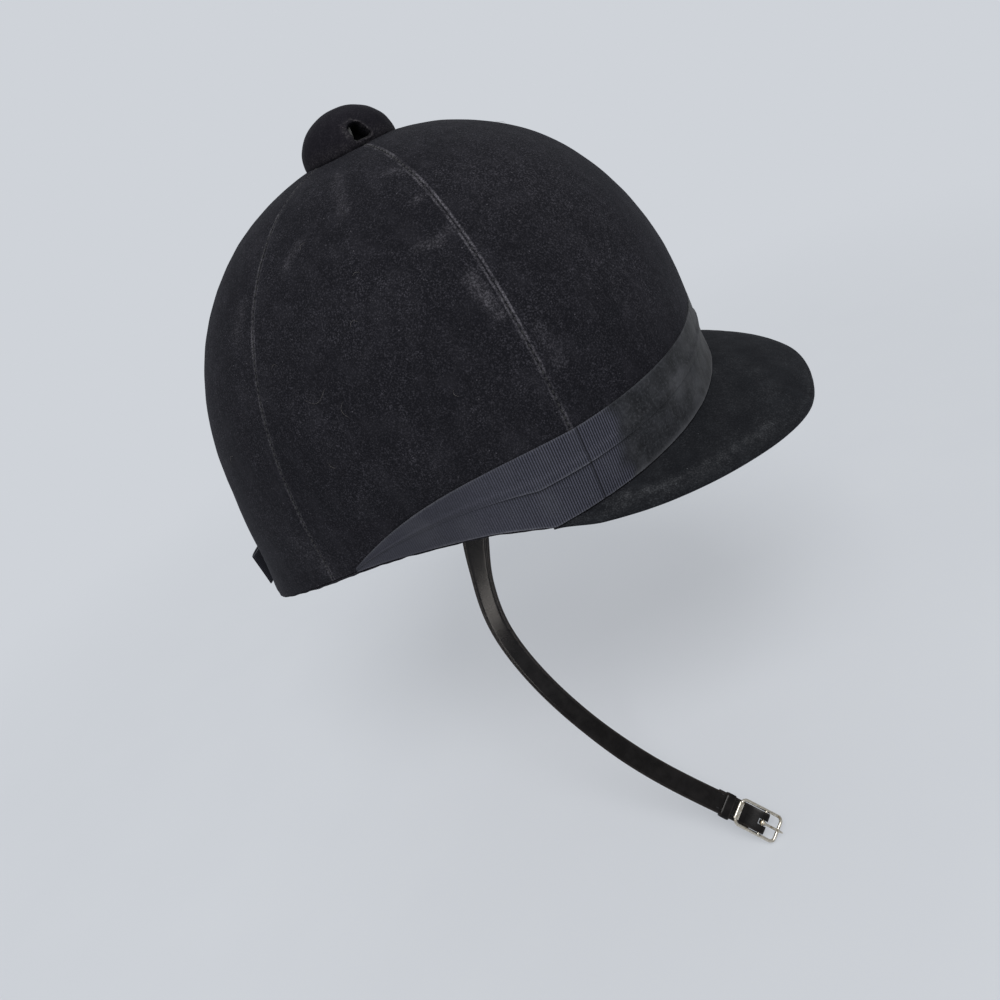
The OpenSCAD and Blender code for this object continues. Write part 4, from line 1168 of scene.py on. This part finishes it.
def strap_fold():
    """Folded end of the strap round the middle bar, with a slot for the tongue."""
    back = np.linspace(-FOLD_LEN + 0.6, -5.5, 16)
    turn = np.linspace(-90, 90, 25)
    c, s = trig(turn)
    mid_r = 1.42
    low = coords(back, -1.5)
    share = np.linspace(0, 1, 8)[1:-1]
    neck = coords(-5.5 * (1 - share), -1.5 + 0.08 * ease(share))
    bend = coords(mid_r * c, mid_r * s)
    up = np.linspace(0, 1, 10)[1:]
    top = coords(-7.4 * up, mid_r - (mid_r - 0.72) * ease(up))
    line = np.concatenate([low, neck, bend, top])
    thick = np.interp(np.linspace(0, 1, len(line)), [0, 0.05, 0.8, 1], [0.35, 0.62, 0.58, 0.16])
    t2 = unit(np.gradient(line, axis=0))
    n2 = coords(-t2[:, 1], t2[:, 0])
    s = FOLD_W / 2 * np.sin(np.radians(np.linspace(-90, 90, 25)))
    round_off = 1 - 0.3 * abs(s / (FOLD_W / 2)) ** 8
    swing = thick[:, None] * np.concatenate([-round_off, round_off])
    x, z = (line[:, [k]] + n2[:, [k]] * swing for k in (0, 1))
    rings = at_bar(coords(x, np.concatenate([s, s[::-1]]), z))
    edge = np.concatenate([np.tile(bell(abs(s) - 4.3, 0.4), 2 * len(line)), [0, 0]])
    made = piece("buckle_strap_fold", sweep(rings), strap_leather, "buckle_strap", "strap_leather", edge=edge)
    corners = [[a, b, c] for a in (-2.2, 3.5) for b in (-1.15, 1.15) for c in (-6, 6)]
    sides = np.array([[0, 1, 3, 2], [4, 6, 7, 5], [0, 4, 5, 1], [2, 3, 7, 6], [0, 2, 6, 4], [1, 5, 7, 3]])
    cut(made, [(at_bar(corners), [sides])])


buckle_strap()
strap_fold()
fold_line = at_bar(coords(np.linspace(-20.5, -9.5, 30), 0, 0.8))
fold_rows = [stitch_row(fold_line + end_side * y, end_face, 2.3, 0.8, 1.6, 0.16, 0.14) for y in (3.1, -3.1)]
piece("buckle_strap_threads", join(fold_rows), thread_black, "buckle_strap", "strap_leather")


def keeper():
    """Leather loop round the folded strap."""
    stand = 0.62
    half, hi, lo = FOLD_W / 2 + stand, 1.0 + stand, -(STRAP_T / 2 + 1.3) - stand
    mid, tall = (hi + lo) / 2, (hi - lo) / 2
    c, s = circle(96)
    low = 0.5 * np.sign(end_side @ SAG)
    y, z = low + half * boxy(c, 0.3), mid + tall * boxy(s, 0.42)
    n = unit(coords(boxy(c, 1.7) / half, boxy(s, 1.58) / tall))
    u = np.linspace(-1, 1, 15)
    across = KEEPER_HALF * np.concatenate([u, u[::-1]])
    height = np.concatenate([0.4 - 0.18 * abs(u) ** 6, np.full(15, -0.42)])
    rings = coords(KEEPER_AT + across, y[:, None] + n[:, :1] * height, z[:, None] + n[:, 1:] * height)
    piece("strap_keeper", sweep(at_bar(rings), True), strap_leather, "buckle_strap", "strap_leather",
          ["strap_keeper"], edge=np.tile(bell(abs(across) - 1.8, 0.3), 96))


keeper()

# Buckle
RAIL = FOLD_W / 2 + 0.25 + WIRE_D / 2


def buckle_frame():
    bend = 2.1
    corner = np.linspace(0, 90, 9)
    path = []
    for cx, cy, start in ((BAR_FAR - bend, RAIL - bend, 0), (-BAR_NEAR + bend, RAIL - bend, 90),
                          (-BAR_NEAR + bend, -RAIL + bend, 180), (BAR_FAR - bend, -RAIL + bend, 270)):
        c, s = trig(start + corner)
        path += [(cx + bend * a, cy + bend * b, 0.0) for a, b in zip(c, s)]
    path = np.array(path)
    dense = []
    for a, b in zip(path, np.roll(path, -1, 0)):
        steps = max(1, int(np.linalg.norm(b - a) / 0.9))
        dense += [a + (b - a) * k / steps for k in range(steps)]
    loop = at_bar(np.array(dense), BAR_TILT)
    forms = [tube(loop, WIRE_D / 2, 20, closed=True, up=end_face)]
    y = np.linspace(-RAIL, RAIL, 15)
    forms.append(tube(at_bar(coords(0, y, 0), BAR_TILT), WIRE_D / 2 - 0.02, 20))
    # Flat sleeve on the near bar
    c, s = circle(28)
    y = np.concatenate([[-3.9, -3.8], np.linspace(-3.6, 3.6, 9), [3.8, 3.9]])[:, None]
    size = np.array([0.86, 0.96] + [1.0] * 9 + [0.96, 0.86])[:, None]
    sleeve = coords(1.25 * size * boxy(c, 0.6) - BAR_NEAR, y, 0.86 * size * boxy(s, 0.7))
    forms.append(sweep(at_bar(sleeve, BAR_TILT)))
    piece("buckle_frame", join(forms), nickel, "buckle_frame", "nickel", ["buckle_frame"])


buckle_frame()


def buckle_tongue():
    """Pin with an eye round the middle bar, its tip on the far bar."""
    c, s = circle(40)
    y = np.array([-0.95, -0.7, 0.7, 0.95])[:, None]
    r_out, r_in = (WIRE_D / 2 + 0.72) * np.array([0.9, 1, 1, 0.9])[:, None], WIRE_D / 2 + 0.05
    outer, inner = coords(r_out * c, y, r_out * s), coords(r_in * c, y, r_in * s)
    x = np.linspace(0.2, BAR_FAR + 2, 30)
    rise = WIRE_D / 2 + 0.58 + 0.12 * np.sin(math.pi * x / (BAR_FAR + 2))
    pin = coords(x, 0, rise)
    size = np.interp(x, [0, 1.5, BAR_FAR, BAR_FAR + 1.6, BAR_FAR + 2], [0.5, 0.56, 0.54, 0.42, 0.12])
    forms = [skin(at_bar(outer, BAR_TILT), at_bar(inner, BAR_TILT), ring_down=True),
             tube(at_bar(pin, BAR_TILT), size, 18, up=end_side)]
    piece("buckle_tongue", join(forms), nickel, "buckle_tongue", "nickel", ["buckle_tongue"])


buckle_tongue()


def hole_strap():
    rivet = np.array([RIVET_X, STRAP_Y, RIVET_Z])
    drop = np.array([-0.36, 0, -1.0])
    exit_l = rivet + drop * 15
    hole_dir = unit([-0.12, -0.07, -1])
    bend_at = np.array([RIVET_X - 18, STRAP_Y - 1.6, RIVET_Z - 50])
    route = [exit_l, exit_l + drop * 12, bend_at - hole_dir * 12, bend_at]
    hole_len = HOLES * HOLE_PITCH + 12
    curve = bez(route, np.linspace(0, 1, 90))
    head = rivet - unit(drop) * (STRAP_W / 2)
    start = head + (exit_l - head) * np.linspace(0, 1, 16)[:-1, None]
    tail = bend_at + hole_dir * np.linspace(0, hole_len + STRAP_W / 2, 60)[1:, None]
    path = np.concatenate([start, curve, tail])
    path, face = even(path, np.broadcast_to(-RIGHT, path.shape))
    rings = strap_rings(path, face, soft_ends(path, True))
    made = piece("hole_strap", sweep(rings), strap_leather, "hole_strap", "strap_leather", ["hole_strap"],
                 edge=strap_marks(rings))
    n = unit(-RIGHT - hole_dir * hole_dir[1])
    punches = []
    for i in range(HOLES):
        c = bend_at + hole_dir * (hole_len - 5 - i * HOLE_PITCH)
        punches.append(tube([c - n * 3, c + n * 3], HOLE_D / 2, 28, up=(0.31, 0.2, 0.93)))
    cut(made, punches)


hole_strap()


# Lint and stray hairs on the velvet: angle, height, length, bend and turn
LINT = [(-97, 85, 10, 3.0, 200), (-92, 78, 6, 2.0, 100), (-95, 133, 3, 1.2, 60), (-84, 104, 3.5, 1.5, 30),
        (-99, 60, 4, 1.0, 140), (-80, 118, 3, 0.8, 10), (-40, 98, 3.5, 1.0, 80), (-128, 70, 4, 1.4, 45),
        (-70, 70, 3, 0.9, 120), (-20, 120, 4, 1.2, 20), (60, 90, 5, 1.8, 70), (120, 100, 4, 1.3, 150),
        (165, 60, 5, 1.6, 30), (20, 140, 4, 1.4, 110), (-106, 100, 3, 1.1, 20)]


def lint():
    forms = []
    for t, z, length, bend, turn in LINT:
        centre, n = crown(t, z), outward(t, z)
        a = unit(np.cross(n, [0.1, 0.2, 1]))
        b = np.cross(n, a)
        c, s = trig(turn)
        u = np.linspace(-1, 1, 14)
        way, side = a * c + b * s, b * c - a * s
        path = centre + (u * length / 2)[:, None] * way + (0.55 + 0.2 * np.sin(3 * u))[:, None] * n
        path = path + (bend * (u**2 - 0.5) * (1 - 0.4 * u))[:, None] * side
        forms.append(tube(path, 0.045 * (1 - 0.5 * abs(u) ** 3), 6, up=n))
    return join(forms)


hair = Finish("hair", Roughness=0.5)
hair.give("Base Color", hair.mix(hair.noise(1.0), srgb(70, 66, 64), srgb(104, 100, 96)))
piece("lint", lint(), hair, "cap")

# CAD nodes that stay as they are
KEPT = {"hard_shell": shell_resin, "cork_liner": cork, "button_core": button_wood, "button_bolt": steel,
        "button_washer": steel, "button_nut": steel, "strap_rivets": nickel, "strap_washers": nickel}
for node, finish in KEPT.items():
    mesh = frame["nodes"][node].data
    mesh.materials.clear()
    mesh.materials.append(finish.material)

# Camera at the photograph's view
CAMERA_AT = Vector((144.307, -327.137, 147.514))
CAMERA_RIGHT = Vector((0.89526, 0.20107, -0.39759))
CAMERA_UP = Vector((0.24014, 0.53388, 0.81074))
SENSOR, IMAGE, FOCUS = 36.0, 1000, 752
camera_data = bpy.data.cameras.new("camera")
camera_data.sensor_width = SENSOR
camera_data.lens = SENSOR * FOCUS / IMAGE
camera_data.clip_start, camera_data.clip_end = 0.01, 20
camera = add_object("camera", camera_data)
back = CAMERA_RIGHT.cross(CAMERA_UP)
turned = Matrix((CAMERA_RIGHT, CAMERA_UP, back)).transposed()
camera.matrix_world = Matrix.Translation(CAMERA_AT * MM) @ turned.to_4x4()
bpy.context.scene.camera = camera

# Floor, backdrop and light
WALL_COLOUR = srgb(207, 211, 217)
FLOOR_Z, FLOOR_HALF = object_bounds()[0].z - 0.002, 6.0


def camera_ray(tree):
    return tree.nodes.new("ShaderNodeLightPath").outputs["Is Camera Ray"]


def show_mix(tree, share, first, second, end):
    """Shows a mix of two shader nodes, the second one by the given share."""
    blend = tree.nodes.new("ShaderNodeMixShader")
    for socket, source in zip(blend.inputs, (share, first.outputs[0], second.outputs[0])):
        tree.links.new(source, socket)
    tree.links.new(blend.outputs[0], tree.nodes[end].inputs["Surface"])


def floor():
    mesh = bpy.data.meshes.new("floor")
    corners = [(x * FLOOR_HALF, y * FLOOR_HALF, FLOOR_Z) for x, y in ((-1, -1), (1, -1), (1, 1), (-1, 1))]
    mesh.from_pydata(corners, [], [(0, 1, 2, 3)])
    made = add_object("floor", mesh)
    paint = Finish("floor", Roughness=0.9, Specular_IOR_Level=0.0)
    paint.give("Base Color", paint.mix(paint.noise(60, 2.0), srgb(206, 209, 214), srgb(212, 215, 219)))
    # The camera sees it fade into the wall's colour
    glow = paint.tree.nodes.new("ShaderNodeEmission")
    glow.inputs["Color"].default_value = WALL_COLOUR
    far = paint.node("VectorMath", {0: paint.place}, output="Value", operation="LENGTH")
    share = paint.times(paint.fade(far, 0.26, 0.95, 0.5, 1.0), camera_ray(paint.tree))
    show_mix(paint.tree, share, paint.shader, glow, "Material Output")
    mesh.materials.append(paint.material)


floor()


def world():
    made = bpy.data.worlds.new("world")
    bpy.context.scene.world = made
    made.use_nodes = True
    tree = made.node_tree
    fill = tree.nodes["Background"]
    fill.inputs["Color"].default_value = (0.95, 0.975, 1.0, 1)
    fill.inputs["Strength"].default_value = 0.42
    shown = tree.nodes.new("ShaderNodeBackground")
    shown.inputs["Color"].default_value = WALL_COLOUR
    show_mix(tree, camera_ray(tree), fill, shown, "World Output")


world()


def lamp(name, place, aim, size, watts, colour=(1, 1, 1), spread=180):
    """Rectangular lamp that the camera doesn't see. Its light keeps inside the spread."""
    data = bpy.data.lights.new(name, "AREA")
    data.spread = math.radians(spread)
    data.shape = "RECTANGLE"
    data.size, data.size_y = size
    data.energy = watts
    data.color = colour
    made = add_object(name, data)
    made.visible_camera = False
    made.location = place
    made.rotation_euler = (Vector(place) - Vector(aim)).to_track_quat("Z", "Y").to_euler()


CAP_MIDDLE, STRAP_SPOT = (0, 0, 0.03), (0.0095, -0.0875, -0.0255)
lamp("key", (0.35, -0.75, 1.15), CAP_MIDDLE, (0.9, 0.6), 13)
lamp("left", (-1.1, -0.25, 0.6), CAP_MIDDLE, (0.9, 0.9), 1.8, (0.95, 0.97, 1))
lamp("back", (-0.1, 1.0, 0.9), CAP_MIDDLE, (1.2, 0.7), 3.2, (0.97, 0.98, 1))
# Small lamp that the polished strap mirrors towards the camera
lamp("glint", (-0.051, -0.281, -0.143), STRAP_SPOT, (0.045, 0.03), 0.0042, (1, 0.94, 0.88), 50)
bpy.context.scene.view_settings.view_transform = "Standard"

bpy.context.view_layer.update()
